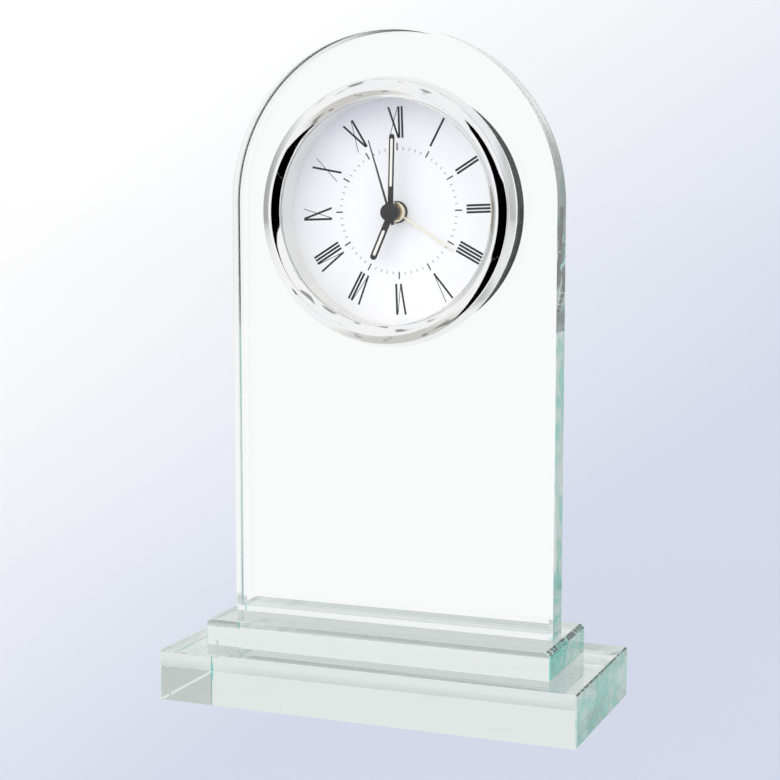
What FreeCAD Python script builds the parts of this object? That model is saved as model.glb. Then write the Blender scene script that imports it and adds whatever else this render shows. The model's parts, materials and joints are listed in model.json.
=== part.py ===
import FreeCAD
import Part
import Sketcher
import math
import os
import types

Vector = FreeCAD.Vector
doc = FreeCAD.newDocument("ArchClock")

# Driving dimensions in millimetres

# Depths in the clock are measured forwards from the middle of the glass panel, along the clock's axis
SIZES = {
    # Glass stand
    "foot_radius": 4.75,
    "foot_tip_radius": 4.1,
    "foot_height": 1.5,
    "foot_inset": 9.0,
    "slab_width": 148.8,
    "slab_depth": 64.4,
    "slab_height": 17.7,
    "slab_arris": 0.5,
    "plinth_width": 124.3,
    "plinth_depth": 41.0,
    "plinth_height": 9.7,
    "plinth_bevel": 1.4,
    "panel_width": 116.8,
    "panel_thickness": 12.0,
    "panel_bevel": 1.1,
    "panel_height": 201.6,
    "hole_gap": 0.7,
    "hole_drop": 2.7,
    # Bezel
    "bezel_overlap": 2.1,
    "bezel_side_slope": 1.4,
    "bezel_shoulder_stand": 5.2,
    "bezel_shoulder_width": 2.8,
    "bezel_ridge_width": 0.7,
    "bezel_ridge_stand": 6.8,
    "bezel_slope_width": 2.5,
    "bezel_lip_stand": 4.6,
    "bezel_lip_thickness": 0.6,
    "bezel_rim_height": 0.4,
    "bezel_neck_length": 3.0,
    "bezel_neck_wall": 1.7,
    "bezel_shoulder_round": 0.7,
    "fit_gap": 0.05,
    # Crystal, dial ring and dial
    "crystal_thickness": 1.6,
    "ring_front_wall": 1.4,
    "ring_back_wall": 0.7,
    "dial_front": -3.0,
    "dial_thickness": 0.5,
    "dial_inset": 1.4,
    # Housing
    "housing_radius": 42.2,
    "housing_wall": 1.3,
    "housing_back": -15.1,
    "shelf_thickness": 1.2,
    "post_radius": 2.6,
    "post_inset": 4.5,
    "post_low_angle": -18.0,
    "post_high_angle": 55.0,
    "grip_width": 4.0,
    "grip_groove": 0.4,
    "grip_back": -1.0,
    # Rear cover
    "cover_thickness": 1.5,
    "box_head_room": 3.0,
    "box_corner": 3.0,
    "box_wall": 1.5,
    "bay_end_gap": 0.25,
    "bay_bottom_gap": 0.75,
    "bay_back_gap": 0.45,
    "knob_hole_radius": 0.85,
    "screw_radius": 1.2,
    "screw_length": 7.0,
    "screw_head_radius": 2.2,
    "screw_head_height": 1.3,
    "sound_slot_width": 1.4,
    "sound_slot_length": 9.0,
    "sound_slot_pitch": 3.0,
    # Battery, its contacts and its door
    "battery_radius": 7.25,
    "battery_length": 49.4,
    "battery_button_radius": 2.75,
    "battery_button_length": 1.1,
    "battery_height": -21.0,
    "battery_depth": -13.3,
    "contact_thickness": 0.4,
    "contact_width": 10.0,
    "contact_height": 12.0,
    "door_side_inset": 1.8,
    "door_top_margin": 1.75,
    "door_bottom_inset": 0.5,
    "door_thickness": 1.4,
    "door_gap": 0.1,
    "door_window_margin": 1.6,
    "rail_end_inset": 2.8,
    "rail_width": 1.6,
    "rail_lip": 1.0,
    "rail_lip_thickness": 0.9,
    "door_grip_width": 14.0,
    "door_grip_height": 0.8,
    "door_grip_thickness": 0.8,
    "door_grip_pitch": 1.8,
    # Movement frame
    "plate_half_width": 14.0,
    "plate_top": 12.0,
    "plate_bottom": -14.0,
    "back_plate_bottom": -9.0,
    "plate_corner": 2.0,
    "plate_thickness": 1.2,
    "mid_plate_front": -9.4,
    "mid_plate_thickness": 0.8,
    "back_plate_front": -16.3,
    "back_plate_thickness": 1.0,
    "pillar_radius": 1.2,
    "pillar_inset": 1.7,
    "back_pillar_drop": 10.0,
    "boss_radius": 3.3,
    "boss_bore": 2.4,
    "nut_radius": 3.75,
    "nut_front": -2.5,
    # Shafts and pipes on the centre line
    "arbor_radius": 0.45,
    "minute_pipe_bore": 0.55,
    "minute_pipe_radius": 1.0,
    "hour_pipe_bore": 1.1,
    "hour_pipe_radius": 1.6,
    "alarm_pipe_bore": 1.7,
    "alarm_pipe_radius": 2.3,
    "pivot_gap": 0.05,
    "knob_arbor_radius": 0.7,
    # Wheel layers and centre distances
    "wheel_thickness": 0.7,
    "alarm_layer": -7.0,
    "hour_layer": -8.0,
    "motion_layer": -9.0,
    "centre_layer": -11.2,
    "third_layer": -12.2,
    "second_layer": -13.2,
    "rotor_layer": -14.1,
    "train_distance": 7.0,
    "motion_distance": 7.4,
    "alarm_distance": 8.0,
    "rotor_distance": 4.8,
    # Motor and electrics
    "magnet_radius": 2.6,
    "magnet_front": -14.4,
    "magnet_back": -16.0,
    "stator_front": -15.5,
    "stator_thickness": 0.8,
    "stator_bore": 3.0,
    "stator_margin": 1.6,
    "stator_near_margin": 0.8,
    "stator_bottom": -13.4,
    "stator_left": -13.2,
    "stator_arm_width": 3.4,
    "stator_arm_height": 6.4,
    "core_height": 2.0,
    "core_thickness": 0.8,
    "core_centre": -11.4,
    "coil_radius": 1.9,
    "coil_half_length": 6.2,
    "coil_centre": -3.2,
    "board_thickness": 0.8,
    "chip_radius": 3.0,
    "chip_height": 1.0,
    "chip_across": -8.0,
    "chip_up": -3.0,
    "can_radius": 1.0,
    "can_length": 6.0,
    "can_across": 9.5,
    "can_up": -6.0,
    "buzzer_radius": 8.5,
    "buzzer_height": 3.6,
    "buzzer_inset": 6.4,
    "buzzer_port_radius": 1.5,
    "buzzer_port_depth": 1.2,
    # Knobs and switch
    "knob_radius": 5.2,
    "knob_clearance": 0.4,
    "knob_height": 4.0,
    "knob_bore_depth": 2.6,
    "knob_flute_radius": 1.1,
    "switch_across": 17.0,
    "switch_up": 5.0,
    "switch_length": 5.0,
    "switch_height": 3.6,
    "switch_travel": 4.0,
    "switch_stem": 2.2,
    "switch_stand": 1.6,
    # Hands
    "hand_thickness": 0.4,
    "hub_radius": 2.95,
    "hour_hand_back": 2.2,
    "hour_hand_length": 17.4,
    "hour_hand_width": 2.3,
    "minute_hand_back": 3.25,
    "minute_hand_length": 26.0,
    "minute_hand_width": 1.9,
    "hour_lume_start": 6.6,
    "minute_lume_start": 8.5,
    "lume_margin": 1.5,
    "hour_lume_width": 1.0,
    "minute_lume_width": 0.85,
    "hub_rise": 0.25,
    "second_hand_back": 4.3,
    "second_hand_thickness": 0.25,
    "second_hand_length": 25.1,
    "second_hand_tail": 4.4,
    "second_hand_root_width": 0.8,
    "second_hand_tip_width": 0.35,
    "second_hand_tail_width": 1.1,
    "cap_back": 4.05,
    "cap_front": 5.3,
    "cap_bore_depth": 0.9,
    "alarm_hand_back": -2.2,
    "alarm_hand_thickness": 0.3,
    "alarm_hand_length": 23.4,
    "alarm_hand_width": 0.55,
    "alarm_hub_radius": 3.4,
    "alarm_hub_back": -2.25,
    "alarm_hub_front": 0.3,
    "collar_radius": 2.5,
    "collar_back": 0.55,
}

# Tooth counts of each meshing pair, the driven pinion or wheel second
TEETH = {
    "rotor_pinion_teeth": 8,
    "intermediate_wheel_teeth": 40,
    "intermediate_pinion_teeth": 8,
    "second_wheel_teeth": 48,
    "second_pinion_teeth": 8,
    "third_wheel_teeth": 60,
    "third_pinion_teeth": 8,
    "centre_wheel_teeth": 64,
    "cannon_pinion_teeth": 8,
    "motion_wheel_teeth": 24,
    "motion_pinion_teeth": 8,
    "hour_wheel_teeth": 32,
    "alarm_set_gear_teeth": 10,
    "alarm_wheel_teeth": 30,
}

# Where the arbors stand round the centre, in degrees anticlockwise from the right, seen from the front
MOTION_ANGLE = 30.0
ALARM_ANGLE = 150.0
THIRD_ANGLE = 225.0
INTERMEDIATE_ANGLE = 300.0
ROTOR_ANGLE = -20.0

# Where the hands point, in degrees clockwise from twelve
SECOND_ANGLE = 342.6
MINUTE_ANGLE = 1.3
HOUR_ANGLE = 203.6
ALARM_HAND_ANGLE = 122.0

# Tooth shape, as shares of the module and of the tooth pitch
PINION_ADDENDUM_SHARE = 0.8
PINION_DEDENDUM_SHARE = 1.15
PINION_TIP_SHARE = 0.22
PINION_ROOT_SHARE = 0.5
WHEEL_ADDENDUM_SHARE = 0.8
WHEEL_DEDENDUM_SHARE = 1.1
WHEEL_TIP_SHARE = 0.12
WHEEL_ROOT_SHARE = 0.62

sheet = doc.addObject("Spreadsheet::Sheet", "Sizes")
for row, (alias, number) in enumerate(SIZES.items(), start=1):
    sheet.set(f"A{row}", alias)
    sheet.set(f"B{row}", str(number))
    sheet.setAlias(f"B{row}", alias)
doc.recompute()


class Size:
    """A length with its value and the sheet formula that gives it."""

    def __init__(self, value, text):
        self.value = value
        self.text = text

    def __add__(self, other):
        return Size(self.value + other.value, f"({self.text} + {other.text})")

    def __sub__(self, other):
        return Size(self.value - other.value, f"({self.text} - {other.text})")

    def __mul__(self, factor):
        return Size(self.value * factor, f"({self.text} * {factor!r})")

    def __truediv__(self, factor):
        return Size(self.value / factor, f"({self.text} / {factor!r})")

    def __neg__(self):
        return Size(-self.value, f"(-{self.text})")


mm = types.SimpleNamespace(**{alias: Size(float(sheet.get(alias)), f"Sizes.{alias}") for alias in SIZES})
ZERO = Size(0.0, "0")

# Heights above the surface the clock stands on
slab_bottom = mm.foot_height
slab_top = slab_bottom + mm.slab_height
plinth_top = slab_top + mm.plinth_height
arch_centre = plinth_top + mm.panel_height - mm.panel_width / 2
clock_height = arch_centre - mm.hole_drop

# Depths in the clock that several pieces share
glass_front = mm.panel_thickness / 2
lip_back = glass_front + mm.bezel_lip_stand - mm.bezel_lip_thickness
crystal_back = lip_back - mm.crystal_thickness
dial_back = mm.dial_front - mm.dial_thickness
shelf_back = dial_back - mm.shelf_thickness
cover_front = mm.housing_back + mm.cover_thickness
box_inside = mm.battery_depth - mm.battery_radius - mm.bay_back_gap
box_back = box_inside - mm.box_wall
knob_front = box_back - mm.knob_clearance
board_front = mm.back_plate_front - mm.back_plate_thickness

# Radii that follow the case, outwards to the bezel and inwards to the dial
hole_radius = mm.housing_radius + mm.hole_gap
bezel_radius = hole_radius + mm.bezel_overlap
bezel_shoulder_radius = bezel_radius - mm.bezel_side_slope
bezel_ridge_radius = bezel_shoulder_radius - mm.bezel_shoulder_width
bezel_lip_radius = bezel_ridge_radius - mm.bezel_ridge_width - mm.bezel_slope_width
housing_bore = mm.housing_radius - mm.housing_wall
neck_radius = housing_bore - mm.fit_gap
neck_bore = neck_radius - mm.bezel_neck_wall
crystal_radius = neck_bore - mm.fit_gap
dial_radius = housing_bore - mm.dial_inset
post_circle = housing_bore - mm.post_inset
buzzer_up = housing_bore - mm.buzzer_inset - mm.buzzer_radius

# The box on the back, round the battery and the movement
battery_half = (mm.battery_length + mm.battery_button_length) / 2
box_half_width = battery_half + mm.contact_thickness + mm.bay_end_gap + mm.box_wall
box_bottom = mm.battery_height - mm.battery_radius - mm.bay_bottom_gap - mm.box_wall
box_top = mm.plate_top + mm.box_head_room
door_half_width = box_half_width - mm.door_side_inset
door_top = mm.battery_height + mm.battery_radius + mm.door_top_margin
door_bottom = box_bottom + mm.door_bottom_inset
rail_bottom = door_bottom + mm.rail_end_inset
sound_slot_bottom = buzzer_up - mm.sound_slot_length / 2


def polar(radius, degrees):
    """Gives a point at a radius and an angle, as two sizes."""
    turn = math.radians(degrees)
    return radius * math.cos(turn), radius * math.sin(turn)


CENTRE = (ZERO, ZERO)
motion_axis = polar(mm.motion_distance, MOTION_ANGLE)
alarm_axis = polar(mm.alarm_distance, ALARM_ANGLE)
third_axis = polar(mm.train_distance, THIRD_ANGLE)
intermediate_axis = polar(mm.train_distance, INTERMEDIATE_ANGLE)
rotor_offset = polar(mm.rotor_distance, ROTOR_ANGLE)
rotor_axis = (intermediate_axis[0] + rotor_offset[0], intermediate_axis[1] + rotor_offset[1])


# Helpers for bodies, sketches and features

pieces = {}


def stand_on(piece, at=CENTRE, depth=ZERO, degrees=0.0):
    """Turns a clock piece upright, facing the front, with its origin on the clock's axis."""
    piece.Placement = FreeCAD.Placement(
        Vector(at[0].value, -depth.value, (clock_height + at[1]).value),
        FreeCAD.Rotation(Vector(1, 0, 0), 90) * FreeCAD.Rotation(Vector(0, 0, 1), degrees),
    )
    piece.setExpression("Placement.Base.x", at[0].text)
    piece.setExpression("Placement.Base.y", (-depth).text)
    piece.setExpression("Placement.Base.z", (clock_height + at[1]).text)


def new_body(label, in_clock=True, at=CENTRE, degrees=0.0):
    """Starts a piece. Clock pieces are drawn as seen from the front, with z towards the viewer."""
    body = doc.addObject("PartDesign::Body", label)
    body.Label = label
    if in_clock:
        stand_on(body, at, ZERO, degrees)
    pieces[label] = body
    return body


def new_sketch(body, plane="XY_Plane", level=ZERO):
    """Puts a sketch on one of the body's own planes, moved along the plane's normal to a level."""
    support = [item for item in body.Origin.OriginFeatures if item.Role == plane][0]
    sketch = body.newObject("Sketcher::SketchObject", f"{body.Label}_sketch")
    sketch.AttachmentSupport = [(support, "")]
    sketch.MapMode = "FlatFace"
    sketch.AttachmentOffset.Base.z = level.value
    sketch.setExpression("AttachmentOffset.Base.z", level.text)
    return sketch


def constrain(sketch, kind, *arguments, size=None):
    """Adds one constraint and ties its value to a size."""
    if size is None:
        sketch.addConstraint(Sketcher.Constraint(kind, *arguments))
        return
    index = sketch.addConstraint(Sketcher.Constraint(kind, *arguments, size.value))
    sketch.renameConstraint(index, f"size_{index}")
    sketch.setExpression(f"Constraints.size_{index}", size.text)


def pin(sketch, geometry, point, across, up):
    """Fixes a point of a sketch by its two distances from the origin."""
    constrain(sketch, "DistanceX", -1, 1, geometry, point, size=across)
    constrain(sketch, "DistanceY", -1, 1, geometry, point, size=up)


def add_outline(sketch, corners):
    """Draws a closed outline of straight lines through the corners."""
    first = sketch.GeometryCount
    ends = corners[1:] + corners[:1]
    for start, end in zip(corners, ends):
        a = Vector(start[0].value, start[1].value, 0)
        b = Vector(end[0].value, end[1].value, 0)
        sketch.addGeometry(Part.LineSegment(a, b), False)
    for index, corner in enumerate(corners):
        following = first + (index + 1) % len(corners)
        constrain(sketch, "Coincident", first + index, 2, following, 1)
        pin(sketch, first + index, 1, *corner)


def add_circle(sketch, radius, at=CENTRE):
    """Draws a circle of a given radius."""
    centre = Vector(at[0].value, at[1].value, 0)
    circle = sketch.addGeometry(Part.Circle(centre, Vector(0, 0, 1), radius.value), False)
    constrain(sketch, "Radius", circle, size=radius)
    pin(sketch, circle, 3, *at)


def box_corners(left, right, bottom, top):
    """Gives the four corners of an upright rectangle."""
    return [(left, bottom), (right, bottom), (right, top), (left, top)]


def add_rounded_box(sketch, left, right, bottom, top, corner):
    """Draws a rectangle with four round corners."""
    inner = box_corners(left + corner, right - corner, bottom + corner, top - corner)
    starts = [(left + corner, bottom), (right, bottom + corner), (right - corner, top), (left, top - corner)]
    stops = [(right - corner, bottom), (right, top - corner), (left + corner, top), (left, bottom + corner)]
    first = sketch.GeometryCount
    for start, stop in zip(starts, stops):
        a = Vector(start[0].value, start[1].value, 0)
        b = Vector(stop[0].value, stop[1].value, 0)
        sketch.addGeometry(Part.LineSegment(a, b), False)
    centres = inner[1:] + inner[:1]
    for index, centre in enumerate(centres):
        middle = Vector(centre[0].value, centre[1].value, 0)
        circle = Part.Circle(middle, Vector(0, 0, 1), corner.value)
        quarter = math.pi / 2
        begin = quarter * (index - 1)
        arc = sketch.addGeometry(Part.ArcOfCircle(circle, begin, begin + quarter), False)
        constrain(sketch, "Coincident", first + index, 2, arc, 1)
        constrain(sketch, "Coincident", arc, 2, first + (index + 1) % 4, 1)
        pin(sketch, arc, 3, *centre)
        pin(sketch, first + index, 1, *starts[index])
        if index % 2:
            constrain(sketch, "DistanceY", -1, 1, first + index, 2, size=stops[index][1])
        else:
            constrain(sketch, "DistanceX", -1, 1, first + index, 2, size=stops[index][0])


def pad(body, sketch, length):
    """Raises a sketch along its normal."""
    feature = body.newObject("PartDesign::Pad", f"{body.Label}_pad")
    feature.Profile = sketch
    feature.Length = length.value
    feature.setExpression("Length", length.text)
    sketch.Visibility = False
    return feature


def pocket(body, sketch, length):
    """Cuts a sketch down into the body, against the sketch's normal."""
    feature = body.newObject("PartDesign::Pocket", f"{body.Label}_pocket")
    feature.Profile = sketch
    feature.Length = length.value
    feature.setExpression("Length", length.text)
    return feature


def pad_between(body, back, front, draw):
    """Draws at the back level and raises to the front level."""
    sketch = new_sketch(body, level=back)
    draw(sketch)
    return pad(body, sketch, front - back)


def cut_between(body, back, front, draw):
    """Draws at the front level and cuts down to the back level."""
    sketch = new_sketch(body, level=front)
    draw(sketch)
    return pocket(body, sketch, front - back)


def turn_profile(body, corners):
    """Turns an outline of radii and depths about the body's upright axis."""
    sketch = new_sketch(body, "XZ_Plane")
    add_outline(sketch, corners)
    feature = body.newObject("PartDesign::Revolution", f"{body.Label}_turned")
    feature.Profile = sketch
    feature.ReferenceAxis = (sketch, ["V_Axis"])
    feature.Angle = 360.0
    return feature


def edge_names(feature, wanted):
    """Names the edges of a feature whose corner points all pass a test."""
    doc.recompute()
    names = []
    for index, edge in enumerate(feature.Shape.Edges, start=1):
        if wanted(edge):
            names.append(f"Edge{index}")
    return names


def dress(body, kind, feature, names, amount):
    """Rounds or bevels the named edges of a feature."""
    dressing = body.newObject(f"PartDesign::{kind}", f"{body.Label}_{kind.lower()}")
    dressing.Base = (feature, names)
    prop = "Size" if kind == "Chamfer" else "Radius"
    setattr(dressing, prop, amount.value)
    dressing.setExpression(prop, amount.text)
    return dressing


def plain_disc(label, radius, back, front, bore=None, at=CENTRE):
    """Makes a disc or a tube between two depths."""
    body = new_body(label, at=at)

    def draw(sketch):
        add_circle(sketch, radius)
        if bore is not None:
            add_circle(sketch, bore)

    pad_between(body, back, front, draw)
    return body


# The glass stand

def make_slab(label, width, depth, bottom, height, arris):
    """Makes a glass slab with finely bevelled edges."""
    body = new_body(label, in_clock=False)
    sketch = new_sketch(body, level=bottom)
    add_outline(sketch, box_corners(-width / 2, width / 2, -depth / 2, depth / 2))
    block = pad(body, sketch, height)
    dressing = dress(body, "Chamfer", block, edge_names(block, lambda edge: True), arris)
    return body, dressing


def at_end(edge):
    """Tells an end edge of the plinth's top from the others."""
    points = [vertex.Point for vertex in edge.Vertexes]
    high = all(abs(point.z - plinth_top.value) < TOUCH_SHARE * mm.plinth_height.value for point in points)
    return high and abs(points[0].x - points[1].x) < TOUCH_SHARE * mm.plinth_width.value


TOUCH_SHARE = 0.001

make_slab("lower_slab", mm.slab_width, mm.slab_depth, slab_bottom, mm.slab_height, mm.slab_arris)


def make_plinth():
    """Makes the upper slab, whose two end edges have a wide bevel."""
    body = new_body("plinth", in_clock=False)
    sketch = new_sketch(body, level=slab_top)
    left = -mm.plinth_width / 2
    right = mm.plinth_width / 2
    add_outline(sketch, box_corners(left, right, -mm.plinth_depth / 2, mm.plinth_depth / 2))
    block = pad(body, sketch, mm.plinth_height)
    dress(body, "Chamfer", block, edge_names(block, at_end), mm.plinth_bevel)


make_plinth()


def make_panel():
    """Makes the upright panel with its half-round top, bevelled edges and round hole."""
    body = new_body("arch_panel", in_clock=False)
    sketch = new_sketch(body, "XZ_Plane", level=-glass_front)
    half = mm.panel_width / 2
    right = half.value
    foot = plinth_top.value
    spring = arch_centre.value
    base = sketch.addGeometry(Part.LineSegment(Vector(-right, foot, 0), Vector(right, foot, 0)), False)
    side = sketch.addGeometry(Part.LineSegment(Vector(right, foot, 0), Vector(right, spring, 0)), False)
    circle = Part.Circle(Vector(0, spring, 0), Vector(0, 0, 1), right)
    arch = sketch.addGeometry(Part.ArcOfCircle(circle, 0, math.pi), False)
    other = sketch.addGeometry(Part.LineSegment(Vector(-right, spring, 0), Vector(-right, foot, 0)), False)
    constrain(sketch, "Coincident", base, 2, side, 1)
    constrain(sketch, "Coincident", side, 2, arch, 1)
    constrain(sketch, "Coincident", arch, 2, other, 1)
    constrain(sketch, "Coincident", other, 2, base, 1)
    pin(sketch, base, 1, -half, plinth_top)
    pin(sketch, base, 2, half, plinth_top)
    constrain(sketch, "Vertical", side)
    pin(sketch, arch, 3, ZERO, arch_centre)
    constrain(sketch, "DistanceY", -1, 1, arch, 1, size=arch_centre)
    constrain(sketch, "DistanceY", -1, 1, arch, 2, size=arch_centre)
    plate = pad(body, sketch, mm.panel_thickness)

    def on_a_face(edge):
        depths = [abs(vertex.Point.y) for vertex in edge.Vertexes]
        return min(depths) > glass_front.value * (1 - TOUCH_SHARE) and abs(
            edge.Vertexes[0].Point.y - edge.Vertexes[-1].Point.y
        ) < glass_front.value

    dress(body, "Chamfer", plate, edge_names(plate, on_a_face), mm.panel_bevel)
    hole = new_sketch(body, "XZ_Plane", level=-glass_front)
    add_circle(hole, hole_radius, (ZERO, clock_height))
    cut = pocket(body, hole, mm.panel_thickness)
    cut.Reversed = True


make_panel()


def make_feet():
    """Makes the four clear bumpers under the corners of the lower slab."""
    corners = []
    for name, side, end in (("a", -1, -1), ("b", 1, -1), ("c", 1, 1), ("d", -1, 1)):
        cone = doc.addObject("Part::Cone", f"foot_{name}")
        cone.setExpression("Radius1", mm.foot_tip_radius.text)
        cone.setExpression("Radius2", mm.foot_radius.text)
        cone.setExpression("Height", mm.foot_height.text)
        across = (mm.slab_width / 2 - mm.foot_inset) * side
        along = (mm.slab_depth / 2 - mm.foot_inset) * end
        cone.setExpression("Placement.Base.x", across.text)
        cone.setExpression("Placement.Base.y", along.text)
        corners.append(cone)
    feet = doc.addObject("Part::Compound", "bumper_feet")
    feet.Label = "bumper_feet"
    feet.Links = corners
    pieces["bumper_feet"] = feet


make_feet()

# The bezel and what lies under it

def make_bezel():
    """Turns the chrome ring: inner slope, ridge, shoulder, side wall, rim and neck."""
    body = new_body("bezel")
    ridge = glass_front + mm.bezel_ridge_stand
    shoulder = glass_front + mm.bezel_shoulder_stand
    lip = glass_front + mm.bezel_lip_stand
    neck_back = glass_front - mm.bezel_neck_length
    ring = turn_profile(
        body,
        [
            (bezel_lip_radius, lip_back),
            (bezel_lip_radius, lip),
            (bezel_ridge_radius - mm.bezel_ridge_width, ridge),
            (bezel_ridge_radius, ridge),
            (bezel_shoulder_radius, shoulder),
            (bezel_radius, glass_front + mm.bezel_rim_height),
            (bezel_radius, glass_front),
            (neck_radius, glass_front),
            (neck_radius, neck_back),
            (neck_bore, neck_back),
            (neck_bore, lip_back),
        ],
    )

    def at_shoulder(edge):
        point = edge.Vertexes[0].Point
        radius = math.hypot(point.x, point.y)
        return len(edge.Vertexes) == 1 and abs(radius - bezel_shoulder_radius.value) < mm.fit_gap.value and (
            abs(point.z - shoulder.value) < mm.fit_gap.value
        )

    dress(body, "Fillet", ring, edge_names(ring, at_shoulder), mm.bezel_shoulder_round)


make_bezel()
plain_disc("crystal", crystal_radius, crystal_back, lip_back)


def make_dial_ring():
    """Turns the white wall that stands on the dial and holds the crystal forward."""
    body = new_body("dial_ring")
    turn_profile(
        body,
        [
            (crystal_radius - mm.ring_back_wall, mm.dial_front),
            (crystal_radius, mm.dial_front),
            (crystal_radius, crystal_back),
            (crystal_radius - mm.ring_front_wall, crystal_back),
        ],
    )


make_dial_ring()
plain_disc("dial", dial_radius, dial_back, mm.dial_front, bore=mm.boss_radius + mm.fit_gap)

POST_ANGLES = (
    mm.post_low_angle.value,
    180.0 - mm.post_low_angle.value,
    mm.post_high_angle.value,
    180.0 - mm.post_high_angle.value,
)


def make_housing():
    """Makes the round case with the shelf that carries the dial, and its four screw posts."""
    body = new_body("housing")
    groove = mm.housing_radius - mm.grip_groove
    grip_front = mm.grip_back + mm.grip_width
    turn_profile(
        body,
        [
            (housing_bore, glass_front),
            (mm.housing_radius, glass_front),
            (mm.housing_radius, grip_front),
            (groove, grip_front),
            (groove, mm.grip_back),
            (mm.housing_radius, mm.grip_back),
            (mm.housing_radius, mm.housing_back),
            (housing_bore, mm.housing_back),
            (housing_bore, shelf_back),
            (mm.boss_radius + mm.fit_gap, shelf_back),
            (mm.boss_radius + mm.fit_gap, dial_back),
            (housing_bore, dial_back),
        ],
    )
    for angle in POST_ANGLES:
        spot = polar(post_circle, angle)

        def draw(sketch):
            add_circle(sketch, mm.post_radius, spot)
            add_circle(sketch, mm.screw_radius, spot)

        pad_between(body, cover_front, shelf_back, draw)


make_housing()


def make_grip_band():
    """Turns the rubber band that fills the gap between the case and the hole in the glass."""
    body = new_body("grip_band")
    inner = mm.housing_radius - mm.grip_groove
    turn_profile(
        body,
        [
            (inner, mm.grip_back),
            (hole_radius, mm.grip_back),
            (hole_radius, mm.grip_back + mm.grip_width),
            (inner, mm.grip_back + mm.grip_width),
        ],
    )


make_grip_band()

# The back of the clock

window_left = -(door_half_width - mm.door_window_margin)
window_right = door_half_width - mm.door_window_margin
window_bottom = door_bottom + mm.door_window_margin
window_top = door_top - mm.door_window_margin
switch_slot_right = mm.switch_across + mm.switch_travel + mm.switch_stem


def make_rear_cover():
    """Makes the back of the case: a disc with a raised box for the battery and the movement."""
    body = new_body("rear_cover")
    pad_between(body, mm.housing_back, cover_front, lambda s: add_circle(s, housing_bore - mm.fit_gap))

    def outside(sketch):
        add_rounded_box(
            sketch, -box_half_width, box_half_width, box_bottom, box_top, mm.box_corner
        )

    def inside(sketch):
        wall = mm.box_wall
        add_rounded_box(
            sketch,
            wall - box_half_width,
            box_half_width - wall,
            box_bottom + wall,
            box_top - wall,
            mm.box_corner - wall,
        )

    pad_between(body, box_back, mm.housing_back, outside)
    cut_between(body, box_inside, cover_front, inside)

    def window(sketch):
        add_outline(sketch, box_corners(window_left, window_right, window_bottom, window_top))

    cut_between(body, box_back, box_inside, window)

    def shaft_holes(sketch):
        add_circle(sketch, mm.knob_hole_radius, motion_axis)
        add_circle(sketch, mm.knob_hole_radius, alarm_axis)
        add_outline(
            sketch,
            box_corners(
                mm.switch_across - mm.switch_stem,
                switch_slot_right,
                mm.switch_up - mm.switch_stem / 2 - mm.door_gap,
                mm.switch_up + mm.switch_stem / 2 + mm.door_gap,
            ),
        )

    cut_between(body, box_back, box_inside, shaft_holes)

    def screw_holes(sketch):
        for angle in POST_ANGLES:
            add_circle(sketch, mm.screw_radius + mm.fit_gap, polar(post_circle, angle))

    cut_between(body, mm.housing_back, cover_front, screw_holes)

    def sound_slots(sketch):
        for step in SOUND_STEPS:
            middle = mm.sound_slot_pitch * step
            half = mm.sound_slot_width / 2
            top = sound_slot_bottom + mm.sound_slot_length
            add_outline(sketch, box_corners(middle - half, middle + half, sound_slot_bottom, top))

    cut_between(body, mm.housing_back, cover_front, sound_slots)

    # Rails that hold the battery door
    rail_back = box_back - mm.door_gap * 2 - mm.door_thickness
    rail_inner = door_half_width + mm.door_gap
    rail_outer = rail_inner + mm.rail_width

    def rails(sketch):
        for side in (-1, 1):
            near, far = sorted((rail_inner * side, rail_outer * side), key=lambda size: size.value)
            add_outline(sketch, box_corners(near, far, rail_bottom, door_top))

    pad_between(body, rail_back, box_back, rails)

    def lips(sketch):
        for side in (-1, 1):
            near, far = sorted(
                ((rail_inner - mm.rail_lip) * side, rail_outer * side), key=lambda size: size.value
            )
            add_outline(sketch, box_corners(near, far, rail_bottom, door_top))

    pad_between(body, rail_back - mm.rail_lip_thickness, rail_back, lips)


SOUND_STEPS = (-2, -1, 0, 1, 2)
make_rear_cover()


def make_rear_screws():
    """Makes the four screws that hold the rear cover to the posts."""
    body_parts = []
    for index, angle in enumerate(POST_ANGLES):
        spot = polar(post_circle, angle)
        shank = doc.addObject("Part::Cylinder", f"shank_{index}")
        shank.setExpression("Radius", mm.screw_radius.text)
        shank.setExpression("Height", mm.screw_length.text)
        stand_on(shank, spot, mm.housing_back)
        head = doc.addObject("Part::Cylinder", f"head_{index}")
        head.setExpression("Radius", mm.screw_head_radius.text)
        head.setExpression("Height", mm.screw_head_height.text)
        stand_on(head, spot, mm.housing_back - mm.screw_head_height)
        screw = doc.addObject("Part::Fuse", f"screw_{index}")
        screw.Base = shank
        screw.Tool = head
        body_parts.append(screw)
    screws = doc.addObject("Part::Compound", "rear_screws")
    screws.Label = "rear_screws"
    screws.Links = body_parts
    pieces["rear_screws"] = screws


make_rear_screws()


def make_battery_door():
    """Makes the sliding door with its finger ribs."""
    body = new_body("battery_door")
    front = box_back - mm.door_gap
    back = front - mm.door_thickness
    left = -door_half_width
    pad_between(
        body,
        back,
        front,
        lambda s: add_outline(s, box_corners(left, door_half_width, door_bottom, door_top)),
    )

    def ribs(sketch):
        middle = (door_bottom + door_top) / 2
        half = mm.door_grip_width / 2
        for step in RIB_STEPS:
            bottom = middle + mm.door_grip_pitch * step
            add_outline(sketch, box_corners(-half, half, bottom, bottom + mm.door_grip_height))

    pad_between(body, back - mm.door_grip_thickness, back, ribs)


RIB_STEPS = (-1, 0, 1)
make_battery_door()


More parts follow.
